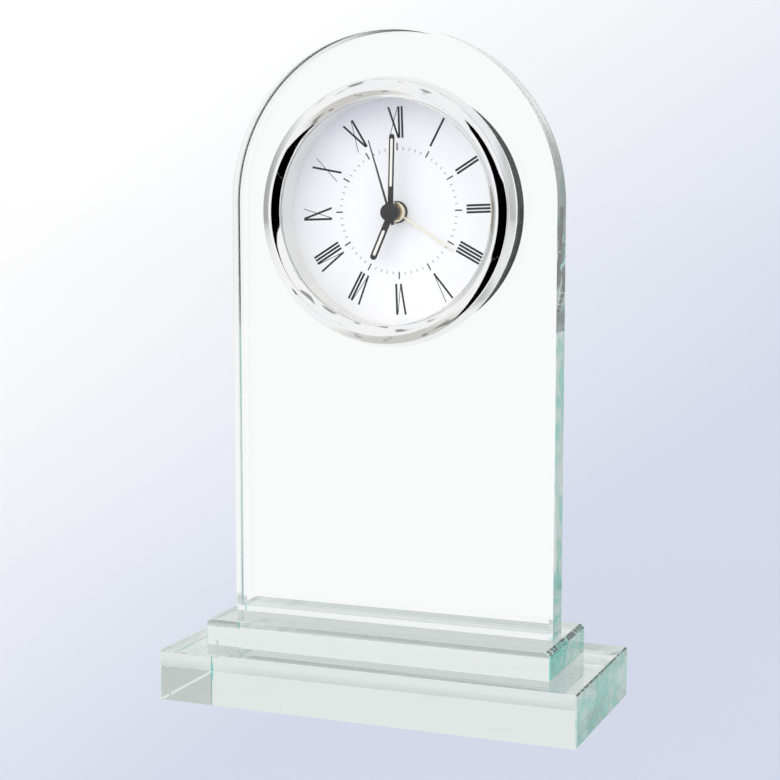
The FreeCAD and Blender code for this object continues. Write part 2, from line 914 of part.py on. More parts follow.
def make_battery():
    """Makes the dry cell that lies across the case, with its raised button."""
    body = new_body("battery")
    sketch = new_sketch(body, "YZ_Plane", level=-battery_half)
    add_circle(sketch, mm.battery_radius, (mm.battery_height, mm.battery_depth))
    pad(body, sketch, mm.battery_length)
    button = new_sketch(body, "YZ_Plane", level=mm.battery_length - battery_half)
    add_circle(button, mm.battery_button_radius, (mm.battery_height, mm.battery_depth))
    pad(body, button, mm.battery_button_length)


make_battery()


def make_contacts():
    """Makes the two contact plates at the ends of the battery."""
    sides = []
    for name, near in (("minus", -battery_half - mm.contact_thickness), ("plus", battery_half)):
        plate = doc.addObject("Part::Box", f"contact_{name}")
        plate.setExpression("Length", mm.contact_thickness.text)
        plate.setExpression("Width", mm.contact_width.text)
        plate.setExpression("Height", mm.contact_height.text)
        low = mm.battery_height - mm.contact_width / 2
        stand_on(plate, (near, low), mm.battery_depth - mm.contact_height / 2)
        sides.append(plate)
    contacts = doc.addObject("Part::Compound", "battery_contacts")
    contacts.Label = "battery_contacts"
    contacts.Links = sides
    pieces["battery_contacts"] = contacts


make_contacts()

# The movement's frame

plate_front = shelf_back
plate_back = plate_front - mm.plate_thickness
mid_back = mm.mid_plate_front - mm.mid_plate_thickness
PILLAR_SIDES = ((-1, 1), (1, 1), (1, -1), (-1, -1))
pillar_high = mm.plate_top - mm.pillar_inset
pillar_low = mm.plate_bottom + mm.pillar_inset


def draw_plate(bottom, holes):
    """Gives a drawing of a plate with round holes."""

    def draw(sketch):
        add_rounded_box(
            sketch, -mm.plate_half_width, mm.plate_half_width, bottom, mm.plate_top, mm.plate_corner
        )
        for radius, spot in holes:
            add_circle(sketch, radius, spot)

    return draw


def draw_pillars(low):
    """Gives a drawing of four pillars, two high and two low."""
    across = mm.plate_half_width - mm.pillar_inset

    def draw(sketch):
        for side, end in PILLAR_SIDES:
            add_circle(sketch, mm.pillar_radius, (across * side, pillar_high if end > 0 else low))

    return draw


pivot_hole = mm.arbor_radius + mm.pivot_gap
knob_hole = mm.knob_hole_radius


def make_plates():
    """Makes the three plates. The front one carries the threaded boss, front and back ones the pillars."""
    front = new_body("front_plate")
    front_holes = [(mm.boss_bore, CENTRE), (knob_hole, motion_axis), (knob_hole, alarm_axis)]
    pad_between(front, plate_back, plate_front, draw_plate(mm.plate_bottom, front_holes))

    def boss(sketch):
        add_circle(sketch, mm.boss_radius)
        add_circle(sketch, mm.boss_bore)

    pad_between(front, plate_front, mm.nut_front, boss)
    pad_between(front, mm.mid_plate_front, plate_back, draw_pillars(pillar_low))

    middle = new_body("mid_plate")
    middle_holes = [
        (mm.minute_pipe_radius + mm.pivot_gap, CENTRE),
        (knob_hole, motion_axis),
        (knob_hole, alarm_axis),
        (pivot_hole, third_axis),
        (pivot_hole, intermediate_axis),
        (pivot_hole, rotor_axis),
    ]
    pad_between(middle, mid_back, mm.mid_plate_front, draw_plate(mm.plate_bottom, middle_holes))

    back = new_body("back_plate")
    back_holes = [
        (pivot_hole, CENTRE),
        (knob_hole, motion_axis),
        (knob_hole, alarm_axis),
        (pivot_hole, third_axis),
        (pivot_hole, intermediate_axis),
        (pivot_hole, rotor_axis),
    ]
    pad_between(back, board_front, mm.back_plate_front, draw_plate(mm.back_plate_bottom, back_holes))
    pad_between(back, mm.back_plate_front, mid_back, draw_pillars(pillar_high - mm.back_pillar_drop))


make_plates()
plain_disc("boss_nut", mm.nut_radius, mm.dial_front, mm.nut_front, bore=mm.boss_radius)

# Toothed wheels

PINION = (PINION_ADDENDUM_SHARE, PINION_DEDENDUM_SHARE, PINION_TIP_SHARE, PINION_ROOT_SHARE)
WHEEL = (WHEEL_ADDENDUM_SHARE, WHEEL_DEDENDUM_SHARE, WHEEL_TIP_SHARE, WHEEL_ROOT_SHARE)


def toothed(teeth, module, shape, bore, back, front, phase):
    """Makes a toothed disc whose first tooth points at the phase angle, in degrees."""
    addendum, dedendum, tip, root = shape
    pitch_radius = teeth * module / 2
    tip_radius = pitch_radius + addendum * module
    root_radius = pitch_radius - dedendum * module
    half_pitch = math.pi / teeth
    points = []
    for tooth in range(teeth):
        middle = math.radians(phase) + 2 * half_pitch * tooth
        for radius, share in ((root_radius, -root), (tip_radius, -tip), (tip_radius, tip), (root_radius, root)):
            angle = middle + share * half_pitch
            points.append(Vector(radius * math.cos(angle), radius * math.sin(angle), back))
    rim = Part.makePolygon(points + points[:1])
    wheel = Part.Face(rim).extrude(Vector(0, 0, front - back))
    return wheel.cut(rod(bore, back, front))


def rod(radius, back, front):
    """Makes a plain round rod along the axis."""
    return Part.makeCylinder(radius, front - back, Vector(0, 0, back))


def tube(radius, bore, back, front):
    """Makes a plain pipe along the axis."""
    return rod(radius, back, front).cut(rod(bore, back, front))


def new_feature(label, shape, at=CENTRE):
    """Keeps a shape made by formula as a piece on one of the movement's axes."""
    piece = doc.addObject("Part::Feature", label)
    piece.Label = label
    piece.Shape = shape.removeSplitter()
    stand_on(piece, at)
    pieces[label] = piece


def teeth_of(name):
    """Gives the number of teeth of a wheel or pinion."""
    return TEETH[f"{name}_teeth"]


def module_of(distance, first, second):
    """Gives the module that two wheels share at a centre distance."""
    return 2 * distance.value / (teeth_of(first) + teeth_of(second))


def facing(teeth_name, direction):
    """Gives the phase that puts a gap towards a direction, in degrees."""
    return direction + 180.0 / teeth_of(teeth_name)


thick = mm.wheel_thickness.value
arbor = mm.arbor_radius.value
pipe_end = mm.centre_layer.value - mm.pivot_gap.value
arbor_back = (board_front + mm.pivot_gap).value


def layer(back):
    """Gives the back and front of a wheel layer."""
    return back.value, back.value + thick


def make_second_wheel():
    """Makes the wheel that carries the second hand: arbor, wheel and pinion."""
    wheel_module = module_of(mm.train_distance, "second_wheel", "intermediate_pinion")
    pinion_module = module_of(mm.train_distance, "second_pinion", "third_wheel")
    wheel = toothed(
        teeth_of("second_wheel"), wheel_module, WHEEL, arbor, *layer(mm.second_layer),
        facing("second_wheel", INTERMEDIATE_ANGLE),
    )
    pinion = toothed(
        teeth_of("second_pinion"), pinion_module, PINION, arbor, mm.second_layer.value + thick,
        mm.third_layer.value + thick, THIRD_ANGLE,
    )
    shaft = rod(arbor, arbor_back, mm.cap_back.value + mm.cap_bore_depth.value)
    new_feature("second_wheel", shaft.fuse([wheel, pinion]))


def make_third_wheel():
    """Makes the wheel between the second wheel and the centre wheel."""
    wheel_module = module_of(mm.train_distance, "second_pinion", "third_wheel")
    pinion_module = module_of(mm.train_distance, "third_pinion", "centre_wheel")
    back_to_centre = THIRD_ANGLE + 180.0
    wheel = toothed(
        teeth_of("third_wheel"), wheel_module, WHEEL, arbor, *layer(mm.third_layer),
        facing("third_wheel", back_to_centre),
    )
    pinion = toothed(
        teeth_of("third_pinion"), pinion_module, PINION, arbor, mm.third_layer.value + thick,
        mm.centre_layer.value + thick, back_to_centre,
    )
    shaft = rod(arbor, arbor_back, mm.mid_plate_front.value)
    new_feature("third_wheel", shaft.fuse([wheel, pinion]), third_axis)


def make_centre_wheel():
    """Makes the wheel that turns once an hour and grips the cannon pinion's pipe."""
    module = module_of(mm.train_distance, "third_pinion", "centre_wheel")
    bore = (mm.minute_pipe_radius + mm.pivot_gap).value
    wheel = toothed(
        teeth_of("centre_wheel"), module, WHEEL, bore, *layer(mm.centre_layer),
        facing("centre_wheel", THIRD_ANGLE),
    )
    new_feature("centre_wheel", wheel)


def make_intermediate_wheel():
    """Makes the wheel between the rotor and the second wheel."""
    wheel_module = module_of(mm.rotor_distance, "rotor_pinion", "intermediate_wheel")
    pinion_module = module_of(mm.train_distance, "second_wheel", "intermediate_pinion")
    wheel = toothed(
        teeth_of("intermediate_wheel"), wheel_module, WHEEL, arbor, *layer(mm.rotor_layer),
        facing("intermediate_wheel", ROTOR_ANGLE),
    )
    pinion = toothed(
        teeth_of("intermediate_pinion"), pinion_module, PINION, arbor, mm.rotor_layer.value + thick,
        mm.second_layer.value + thick, INTERMEDIATE_ANGLE + 180.0,
    )
    shaft = rod(arbor, arbor_back, mm.mid_plate_front.value)
    new_feature("intermediate_wheel", shaft.fuse([wheel, pinion]), intermediate_axis)


def make_rotor():
    """Makes the stepping motor's pinion on its arbor, and the round magnet behind it."""
    module = module_of(mm.rotor_distance, "rotor_pinion", "intermediate_wheel")
    pinion = toothed(
        teeth_of("rotor_pinion"), module, PINION, arbor, *layer(mm.rotor_layer), ROTOR_ANGLE + 180.0
    )
    shaft = rod(arbor, arbor_back, mm.mid_plate_front.value)
    new_feature("rotor_pinion", shaft.fuse(pinion), rotor_axis)


def make_motion_works():
    """Makes the wheels that carry the minute and hour hands and the setting arbor."""
    first = module_of(mm.motion_distance, "cannon_pinion", "motion_wheel")
    second = module_of(mm.motion_distance, "motion_pinion", "hour_wheel")
    pipe_bore = mm.minute_pipe_bore.value
    cannon = toothed(
        teeth_of("cannon_pinion"), first, PINION, pipe_bore, *layer(mm.motion_layer), MOTION_ANGLE
    )
    minute_front = (mm.minute_hand_back + mm.hand_thickness + mm.hub_rise).value
    pipe = tube(mm.minute_pipe_radius.value, pipe_bore, pipe_end, minute_front)
    new_feature("cannon_pinion", pipe.fuse(cannon))

    setting = mm.knob_arbor_radius.value
    wheel = toothed(
        teeth_of("motion_wheel"), first, WHEEL, setting, *layer(mm.motion_layer),
        facing("motion_wheel", MOTION_ANGLE + 180.0),
    )
    pinion = toothed(
        teeth_of("motion_pinion"), second, PINION, setting, mm.motion_layer.value + thick,
        mm.hour_layer.value + thick, MOTION_ANGLE + 180.0,
    )
    shaft = rod(setting, knob_seat.value, (plate_front - mm.pivot_gap).value)
    new_feature("motion_wheel", shaft.fuse([wheel, pinion]), motion_axis)

    hour = toothed(
        teeth_of("hour_wheel"), second, WHEEL, mm.hour_pipe_bore.value, *layer(mm.hour_layer),
        facing("hour_wheel", MOTION_ANGLE),
    )
    hour_front = (mm.hour_hand_back + mm.hand_thickness + mm.hub_rise).value
    pipe = tube(mm.hour_pipe_radius.value, mm.hour_pipe_bore.value, mm.hour_layer.value, hour_front)
    new_feature("hour_wheel", pipe.fuse(hour))


def make_alarm_works():
    """Makes the wheel that carries the alarm hand and the gear that sets it."""
    module = module_of(mm.alarm_distance, "alarm_set_gear", "alarm_wheel")
    wheel = toothed(
        teeth_of("alarm_wheel"), module, WHEEL, mm.alarm_pipe_bore.value, *layer(mm.alarm_layer),
        facing("alarm_wheel", ALARM_ANGLE),
    )
    pipe = tube(
        mm.alarm_pipe_radius.value, mm.alarm_pipe_bore.value, mm.alarm_layer.value, mm.alarm_hub_front.value
    )
    new_feature("alarm_wheel", pipe.fuse(wheel))
    setting = mm.knob_arbor_radius.value
    gear = toothed(
        teeth_of("alarm_set_gear"), module, PINION, setting, *layer(mm.alarm_layer), ALARM_ANGLE + 180.0
    )
    shaft = rod(setting, knob_seat.value, (plate_front - mm.pivot_gap).value)
    new_feature("alarm_set_gear", shaft.fuse(gear), alarm_axis)


knob_seat = knob_front - mm.knob_bore_depth
make_second_wheel()
make_third_wheel()
make_centre_wheel()
make_intermediate_wheel()
make_rotor()
make_motion_works()
make_alarm_works()

# The motor, the electrics and the buzzer

plain_disc(
    "rotor_magnet", mm.magnet_radius, mm.magnet_back, mm.magnet_front, bore=mm.arbor_radius, at=rotor_axis
)


def make_stator():
    """Makes the laminated plate round the magnet and the arm at the other end of the coil."""
    body = new_body("stator")
    back = mm.stator_front - mm.stator_thickness
    reach = mm.stator_bore + mm.stator_margin
    left = rotor_axis[0] - mm.stator_bore - mm.stator_near_margin
    right = rotor_axis[0] + reach
    top = rotor_axis[1] + reach

    def draw(sketch):
        add_outline(sketch, box_corners(left, right, mm.stator_bottom, top))
        add_circle(sketch, mm.stator_bore, rotor_axis)

    pad_between(body, back, mm.stator_front, draw)
    arm = new_body("stator_arm")
    arm_right = mm.stator_left + mm.stator_arm_width
    arm_top = mm.stator_bottom + mm.stator_arm_height
    pad_between(
        arm,
        back,
        mm.stator_front,
        lambda s: add_outline(s, box_corners(mm.stator_left, arm_right, mm.stator_bottom, arm_top)),
    )
    core_back = back - mm.core_thickness
    core = new_body("coil_core")
    half = mm.core_height / 2
    low = mm.core_centre - half
    high = mm.core_centre + half
    pad_between(
        core, core_back, back, lambda s: add_outline(s, box_corners(mm.stator_left, right, low, high))
    )

    # The winding is a round sleeve with a flat slot for the core
    coil = new_body("coil")
    axis_depth = back - mm.core_thickness / 2
    sketch = new_sketch(coil, "YZ_Plane", level=mm.coil_centre - mm.coil_half_length)
    add_circle(sketch, mm.coil_radius, (mm.core_centre, axis_depth))
    add_outline(sketch, box_corners(low, high, core_back, back))
    pad(coil, sketch, mm.coil_half_length * 2)


make_stator()


def make_electrics():
    """Makes the circuit board, its chip and its quartz can, and the buzzer with its sound port."""
    board = new_body("circuit_board")
    board_back = board_front - mm.board_thickness
    holes = [(knob_hole, motion_axis), (knob_hole, alarm_axis)]
    pad_between(board, board_back, board_front, draw_plate(mm.back_plate_bottom, holes))
    spot = (mm.chip_across, mm.chip_up)
    plain_disc("chip", mm.chip_radius, board_back - mm.chip_height, board_back, at=spot)

    can = new_body("quartz_can")
    sketch = new_sketch(can, "XZ_Plane", level=-mm.can_up)
    add_circle(sketch, mm.can_radius, (mm.can_across, board_back - mm.can_radius))
    length = pad(can, sketch, mm.can_length)
    length.Reversed = True

    buzzer = new_body("buzzer", at=(ZERO, buzzer_up))
    pad_between(buzzer, cover_front, cover_front + mm.buzzer_height, lambda s: add_circle(s, mm.buzzer_radius))
    cut_between(
        buzzer, cover_front, cover_front + mm.buzzer_port_depth, lambda s: add_circle(s, mm.buzzer_port_radius)
    )


make_electrics()

# Knobs and switch

def make_knob(label, at):
    """Makes a fluted setting knob with a blind hole for its arbor."""
    body = new_body(label, at=at)
    back = knob_front - mm.knob_height
    grip = pad_between(body, back, knob_front, lambda s: add_circle(s, mm.knob_radius))
    cut_between(body, knob_seat, knob_front, lambda s: add_circle(s, mm.knob_arbor_radius))
    flute = cut_between(
        body, back, knob_front, lambda s: add_circle(s, mm.knob_flute_radius, (mm.knob_radius, ZERO))
    )
    ring = body.newObject("PartDesign::PolarPattern", f"{label}_flutes")
    ring.Originals = [flute]
    ring.Axis = (flute.Profile[0], ["N_Axis"])
    ring.Angle = 360.0
    ring.Occurrences = FLUTES
    body.Tip = ring
    return grip


FLUTES = 10
make_knob("time_knob", motion_axis)
make_knob("alarm_knob", alarm_axis)


def make_switch():
    """Makes the sliding alarm switch with its stem through the slot."""
    body = new_body("alarm_switch")
    face = box_back - mm.door_gap
    back = face - mm.switch_stand
    low = mm.switch_up - mm.switch_height / 2
    high = mm.switch_up + mm.switch_height / 2
    left = mm.switch_across - mm.switch_length / 2
    right = mm.switch_across + mm.switch_length / 2
    pad_between(body, back, face, lambda s: add_outline(s, box_corners(left, right, low, high)))
    half = mm.switch_stem / 2
    stem = box_corners(
        mm.switch_across - half, mm.switch_across + half, mm.switch_up - half, mm.switch_up + half
    )
    pad_between(body, face, box_inside, lambda s: add_outline(s, stem))


make_switch()

# The hands

def make_baton_hand(label, lume_label, back, length, width, lume_start, lume_width, pipe_radius, degrees):
    """Makes a hand with a round hub and a slot, and the pale inlay that fills the slot."""
    body = new_body(label, degrees=-degrees)
    half = width / 2
    tip = length - half
    front = back + mm.hand_thickness
    pad_between(body, back, front, lambda s: add_outline(s, box_corners(-half, half, ZERO, tip)))
    pad_between(body, back, front, lambda s: add_circle(s, half, (ZERO, tip)))
    pad_between(body, back - mm.hub_rise, front + mm.hub_rise, lambda s: add_circle(s, mm.hub_radius))
    cut_between(body, back - mm.hub_rise, front + mm.hub_rise, lambda s: add_circle(s, pipe_radius))
    lume = new_body(lume_label, degrees=-degrees)
    side = lume_width / 2
    ends = (lume_start + side, length - mm.lume_margin - side)
    slot = box_corners(-side, side, *ends)
    for piece, shape in ((body, cut_between), (lume, pad_between)):
        shape(piece, back, front, lambda s: add_outline(s, slot))
        for end in ends:
            shape(piece, back, front, lambda s, end=end: add_circle(s, side, (ZERO, end)))


make_baton_hand(
    "hour_hand", "hour_lume", mm.hour_hand_back, mm.hour_hand_length, mm.hour_hand_width,
    mm.hour_lume_start, mm.hour_lume_width, mm.hour_pipe_radius, HOUR_ANGLE,
)
make_baton_hand(
    "minute_hand", "minute_lume", mm.minute_hand_back, mm.minute_hand_length, mm.minute_hand_width,
    mm.minute_lume_start, mm.minute_lume_width, mm.minute_pipe_radius, MINUTE_ANGLE,
)
plain_disc(
    "hour_collar", mm.collar_radius, mm.collar_back, mm.hour_hand_back - mm.hub_rise, bore=mm.hour_pipe_radius
)


def make_second_hand():
    """Makes the thin tapered hand with its short tail, and the cap that carries it."""
    body = new_body("second_hand", degrees=-SECOND_ANGLE)
    back = mm.second_hand_back
    front = back + mm.second_hand_thickness
    root = mm.second_hand_root_width / 2
    tip = mm.second_hand_tip_width / 2
    tail = mm.second_hand_tail_width / 2
    edge = mm.hub_radius
    blade = [(-root, edge), (root, edge), (tip, mm.second_hand_length), (-tip, mm.second_hand_length)]
    stub = box_corners(-tail, tail, -mm.second_hand_tail, -edge)

    pad_between(body, back, front, lambda s: add_circle(s, edge + mm.fit_gap * 2))
    pad_between(body, back, front, lambda s: add_outline(s, blade))
    pad_between(body, back, front, lambda s: add_outline(s, stub))
    cut_between(body, back, front, lambda s: add_circle(s, mm.arbor_radius))

    plain_disc("hub_seat", mm.hub_radius, mm.cap_back, back, bore=mm.arbor_radius)
    cap = new_body("hub_cap")
    pad_between(cap, front, mm.cap_front, lambda s: add_circle(s, mm.hub_radius))
    top = mm.cap_back + mm.cap_bore_depth
    cut_between(cap, front, top, lambda s: add_circle(s, mm.arbor_radius))


make_second_hand()


def make_alarm_hand():
    """Makes the thin gilt hand with its brass hub on the alarm wheel's pipe."""
    body = new_body("alarm_hand", degrees=-ALARM_HAND_ANGLE)
    half = mm.alarm_hand_width / 2
    front = mm.alarm_hand_back + mm.alarm_hand_thickness
    blade = box_corners(-half, half, ZERO, mm.alarm_hand_length)
    pad_between(body, mm.alarm_hand_back, front, lambda s: add_outline(s, blade))
    pad_between(body, mm.alarm_hub_back, mm.alarm_hub_front, lambda s: add_circle(s, mm.alarm_hub_radius))
    cut_between(
        body, mm.alarm_hub_back, mm.alarm_hub_front, lambda s: add_circle(s, mm.alarm_pipe_radius)
    )


make_alarm_hand()

# Check every object, then write each piece to its own file

doc.recompute()
for item in doc.Objects:
    if "Invalid" in item.State or "Error" in item.State:
        raise RuntimeError(f"{item.Name} failed: {item.State}")
for label, piece in pieces.items():
    shape = piece.Shape
    if shape.isNull() or not shape.isValid() or not shape.Solids:
        raise RuntimeError(f"{label} has no valid solid")
os.makedirs("parts", exist_ok=True)
for label, piece in pieces.items():
    piece.Shape.exportStep(f"parts/{label}.step")
print(f"{len(pieces)} pieces written")
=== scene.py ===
"""Looks for the arch-top glass alarm clock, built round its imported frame."""

import json
import math

import bmesh
import bpy
from mathutils import Euler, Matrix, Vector


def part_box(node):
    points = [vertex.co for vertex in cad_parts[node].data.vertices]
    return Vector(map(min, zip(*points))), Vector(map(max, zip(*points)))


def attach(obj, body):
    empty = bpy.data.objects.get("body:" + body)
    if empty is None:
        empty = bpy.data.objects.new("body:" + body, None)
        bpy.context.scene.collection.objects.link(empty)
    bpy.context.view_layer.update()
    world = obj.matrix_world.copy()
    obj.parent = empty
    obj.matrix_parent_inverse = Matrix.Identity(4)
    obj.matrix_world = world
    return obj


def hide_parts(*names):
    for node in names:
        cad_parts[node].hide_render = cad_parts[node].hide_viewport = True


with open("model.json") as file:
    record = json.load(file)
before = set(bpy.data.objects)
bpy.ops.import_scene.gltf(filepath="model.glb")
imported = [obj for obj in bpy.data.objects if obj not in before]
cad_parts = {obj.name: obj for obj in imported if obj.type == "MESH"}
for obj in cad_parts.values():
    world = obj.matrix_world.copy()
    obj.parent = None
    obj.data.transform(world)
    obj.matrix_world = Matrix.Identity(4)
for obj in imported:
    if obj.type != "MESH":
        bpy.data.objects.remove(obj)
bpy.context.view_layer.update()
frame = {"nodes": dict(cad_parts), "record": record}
scene = bpy.context.scene

# Where the clock sits in the frame, all in millimetres

MM = 0.001


def middle_of(node):
    """The middle of a node's box, in millimetres."""
    low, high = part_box(node)
    return (low + high) / 2 / MM


CLOCK_HEIGHT = middle_of("crystal").z
GLASS_FRONT = -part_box("arch_panel")[0].y / MM
DIAL_FRONT = -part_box("dial")[0].y / MM


def clock_point(across, up, forward):
    """A point given as seen from the front of the clock, round the dial's centre."""
    return Vector((across, -forward, CLOCK_HEIGHT + up)) * MM


def stand_point(across, along, up):
    """A point of the stand, from the middle of its footprint."""
    return Vector((across, along, up)) * MM


# Camera, at the photograph's viewing angle

CAMERA_PLACE = (0.217061, -0.544328, 0.175645)
CAMERA_YAW = 0.382
CAMERA_PITCH = -0.113
CAMERA_LENS = 79.904


def make_camera():
    """Sets the camera where the photograph was taken from."""
    data = bpy.data.cameras.new("camera")
    data.lens = CAMERA_LENS
    data.clip_start = 0.01
    camera = bpy.data.objects.new("camera", data)
    scene.collection.objects.link(camera)
    camera.location = CAMERA_PLACE
    flat = math.cos(CAMERA_PITCH)
    ahead = Vector((-math.sin(CAMERA_YAW) * flat, math.cos(CAMERA_YAW) * flat, math.sin(CAMERA_PITCH)))
    camera.rotation_euler = ahead.to_track_quat("-Z", "Y").to_euler()
    scene.camera = camera


# Node helpers

NODES_IN_COLUMN = 6
COLUMN_STEP = 220
ROW_STEP = -170
WHITE = (1.0, 1.0, 1.0, 1.0)
FLOAT = "NodeSocketFloat"
COLOUR = "NodeSocketColor"


def fill(tree, node, inputs):
    """Links a socket, or sets a plain value, on each of a node's inputs, by name or by place."""
    for key, source in inputs.items():
        if isinstance(source, bpy.types.NodeSocket):
            tree.links.new(source, node.inputs[key])
        else:
            node.inputs[key].default_value = source


def add_node(tree, kind, inputs=None, **settings):
    """Adds a node in the next free place of a tree, with its properties set and its inputs filled."""
    column, row = divmod(len(tree.nodes), NODES_IN_COLUMN)
    node = tree.nodes.new(kind)
    node.location = (column * COLUMN_STEP, row * ROW_STEP)
    for name, value in settings.items():
        setattr(node, name, value)
    fill(tree, node, inputs or {})
    return node


def calc(tree, operation, *values):
    """The result of a Math node on sockets or plain numbers."""
    return add_node(tree, "ShaderNodeMath", dict(enumerate(values)), operation=operation).outputs[0]


def vector_calc(tree, operation, *values):
    """The number or the vector that a Vector Math node makes."""
    node = add_node(tree, "ShaderNodeVectorMath", dict(enumerate(values)), operation=operation)
    return node.outputs["Value" if operation in ("LENGTH", "DOT_PRODUCT") else "Vector"]


def product(tree, first, second):
    """Where two masks meet."""
    return calc(tree, "MULTIPLY", first, second)


def inverted(tree, mask):
    """All that a mask leaves out."""
    return calc(tree, "SUBTRACT", 1.0, mask)


def blend_colours(tree, amount, first, second):
    """Mixes two colours by an amount."""
    inputs = {0: amount, 6: first, 7: second}
    return add_node(tree, "ShaderNodeMix", inputs, data_type="RGBA").outputs[2]


def ranged(tree, value, low, high, to_low=0.0, to_high=1.0):
    """Maps a value from one range to another."""
    inputs = {"Value": value, "From Min": low, "From Max": high, "To Min": to_low, "To Max": to_high}
    return add_node(tree, "ShaderNodeMapRange", inputs).outputs["Result"]


def noise(tree, vector, scale, detail, distortion=0.0):
    """The level of a noise texture on a vector."""
    inputs = {"Vector": vector, "Scale": scale, "Detail": detail, "Distortion": distortion}
    return add_node(tree, "ShaderNodeTexNoise", inputs).outputs["Fac"]


def own_place(tree):
    """Where a point lies on its object."""
    return add_node(tree, "ShaderNodeTexCoord").outputs["Object"]


def split(tree, vector):
    """The three parts of a vector."""
    return add_node(tree, "ShaderNodeSeparateXYZ", {0: vector}).outputs[:]


def combine(tree, **parts):
    """A vector made of its parts."""
    return add_node(tree, "ShaderNodeCombineXYZ", parts).outputs[0]


def open_group(name, inputs, outputs):
    """Starts a shader node group with named sockets."""
    tree = bpy.data.node_groups.new(name, "ShaderNodeTree")
    for in_out, sockets in (("INPUT", inputs), ("OUTPUT", outputs)):
        for label, kind in sockets.items():
            tree.interface.new_socket(label, in_out=in_out, socket_type=kind)
    return tree, add_node(tree, "NodeGroupInput").outputs, add_node(tree, "NodeGroupOutput")


# Shared surface effects

EFFECT_OUTPUTS = {"Height": FLOAT, "Roughness": FLOAT}
BROAD_SHARE = 0.05
GRAIN_LEVELS = (0.3, 0.7)
GRAIN_DEPTH = 0.00004
RING_DEPTH = 0.000004
RING_STRENGTH = 0.2
DRIFT_LEVELS = (0.35, 0.65)


def make_grain_group():
    """Fine moulded or printed grain: a height and a roughness that vary over the surface."""
    inputs = {"Size": FLOAT, "Smooth": FLOAT, "Rough": FLOAT}
    tree, given, end = open_group("fine_grain", inputs, EFFECT_OUTPUTS)
    place = own_place(tree)
    fine = noise(tree, place, given["Size"], 3.0)
    broad = noise(tree, place, product(tree, given["Size"], BROAD_SHARE), 2.0)
    spread = ranged(tree, broad, *GRAIN_LEVELS, given["Smooth"], given["Rough"])
    fill(tree, end, {"Height": fine, "Roughness": spread})
    return tree


def make_turning_group():
    """The fine rings that a lathe leaves, round the clock's own axis."""
    inputs = {"Rings": FLOAT, "Smooth": FLOAT, "Rough": FLOAT}
    tree, given, end = open_group("turned_rings", inputs, EFFECT_OUTPUTS)
    shift = {"Vector": own_place(tree), "Location": (0.0, 0.0, -CLOCK_HEIGHT * MM)}
    across, _, up = split(tree, add_node(tree, "ShaderNodeMapping", shift).outputs["Vector"])
    reach = vector_calc(tree, "LENGTH", combine(tree, X=across, Y=up))
    waves = {"W": product(tree, reach, given["Rings"]), "Scale": 1.0, "Detail": 2.0}
    rings = add_node(tree, "ShaderNodeTexNoise", waves, noise_dimensions="1D").outputs["Fac"]
    spread = ranged(tree, rings, 0.0, 1.0, given["Smooth"], given["Rough"])
    fill(tree, end, {"Height": rings, "Roughness": spread})
    return tree


def make_drift_group():
    """A colour that drifts softly into another over the surface."""
    inputs = {"First": COLOUR, "Second": COLOUR, "Size": FLOAT}
    tree, given, end = open_group("colour_drift", inputs, {"Colour": COLOUR})
    clouds = ranged(tree, noise(tree, own_place(tree), given["Size"], 3.0), *DRIFT_LEVELS)
    fill(tree, end, {"Colour": blend_colours(tree, clouds, given["First"], given["Second"])})
    return tree


grain_group = make_grain_group()
turning_group = make_turning_group()
drift_group = make_drift_group()


def bare_material(name):
    """A material with nothing in its tree but the output."""
    material = bpy.data.materials.new(name)
    material.use_nodes = True
    tree = material.node_tree
    tree.nodes.clear()
    return material, tree, add_node(tree, "ShaderNodeOutputMaterial")


def new_material(name):
    """A material with a Principled shader."""
    material, tree, output = bare_material(name)
    shader = add_node(tree, "ShaderNodeBsdfPrincipled")
    tree.links.new(shader.outputs[0], output.inputs["Surface"])
    return material, tree, shader, output


def bumped(tree, height, strength, depth):
    """A normal that follows a height."""
    inputs = {"Height": height, "Strength": strength, "Distance": depth}
    return add_node(tree, "ShaderNodeBump", inputs).outputs[0]


def add_effect(tree, group, **inputs):
    """The outputs of a shared effect on the given inputs."""
    return add_node(tree, "ShaderNodeGroup", inputs, node_tree=group).outputs


def mottled(tree, colour, other, size):
    """A colour with a drift towards another."""
    colours = {"First": (*colour, 1.0), "Second": (*other, 1.0)}
    return add_effect(tree, drift_group, Size=size, **colours)["Colour"]


def make_moulded(name, colour, other, smooth, rough, size=1400.0, strength=0.25, gloss=0.5):
    """A moulded or painted surface with fine grain and a slight drift of colour."""
    material, tree, shader, _ = new_material(name)
    grain = add_effect(tree, grain_group, Size=size, Smooth=smooth, Rough=rough)
    look = {
        "Base Color": mottled(tree, colour, other, 60.0),
        "Roughness": grain["Roughness"],
        "Specular IOR Level": gloss,
        "Normal": bumped(tree, grain["Height"], strength, GRAIN_DEPTH),
    }
    fill(tree, shader, look)
    return material


def make_metal(name, colour, other, smooth, rough, rings=2500.0):
    """A turned metal surface with fine rings."""
    material, tree, shader, _ = new_material(name)
    turning = add_effect(tree, turning_group, Rings=rings, Smooth=smooth, Rough=rough)
    look = {
        "Base Color": mottled(tree, colour, other, 90.0),
        "Metallic": 1.0,
        "Roughness": turning["Roughness"],
        "Normal": bumped(tree, turning["Height"], RING_STRENGTH, RING_DEPTH),
    }
    fill(tree, shader, look)
    return material


def make_chrome():
    """Bright chrome plate, with a trace of polishing haze in its roughness."""
    material, tree, shader, _ = new_material("chrome_plate")
    haze = add_effect(tree, grain_group, Size=700.0, Smooth=0.03, Rough=0.06)
    plate = mottled(tree, (0.86, 0.87, 0.88), (0.90, 0.90, 0.90), 40.0)
    fill(tree, shader, {"Base Color": plate, "Metallic": 1.0, "Roughness": haze["Roughness"]})
    return material


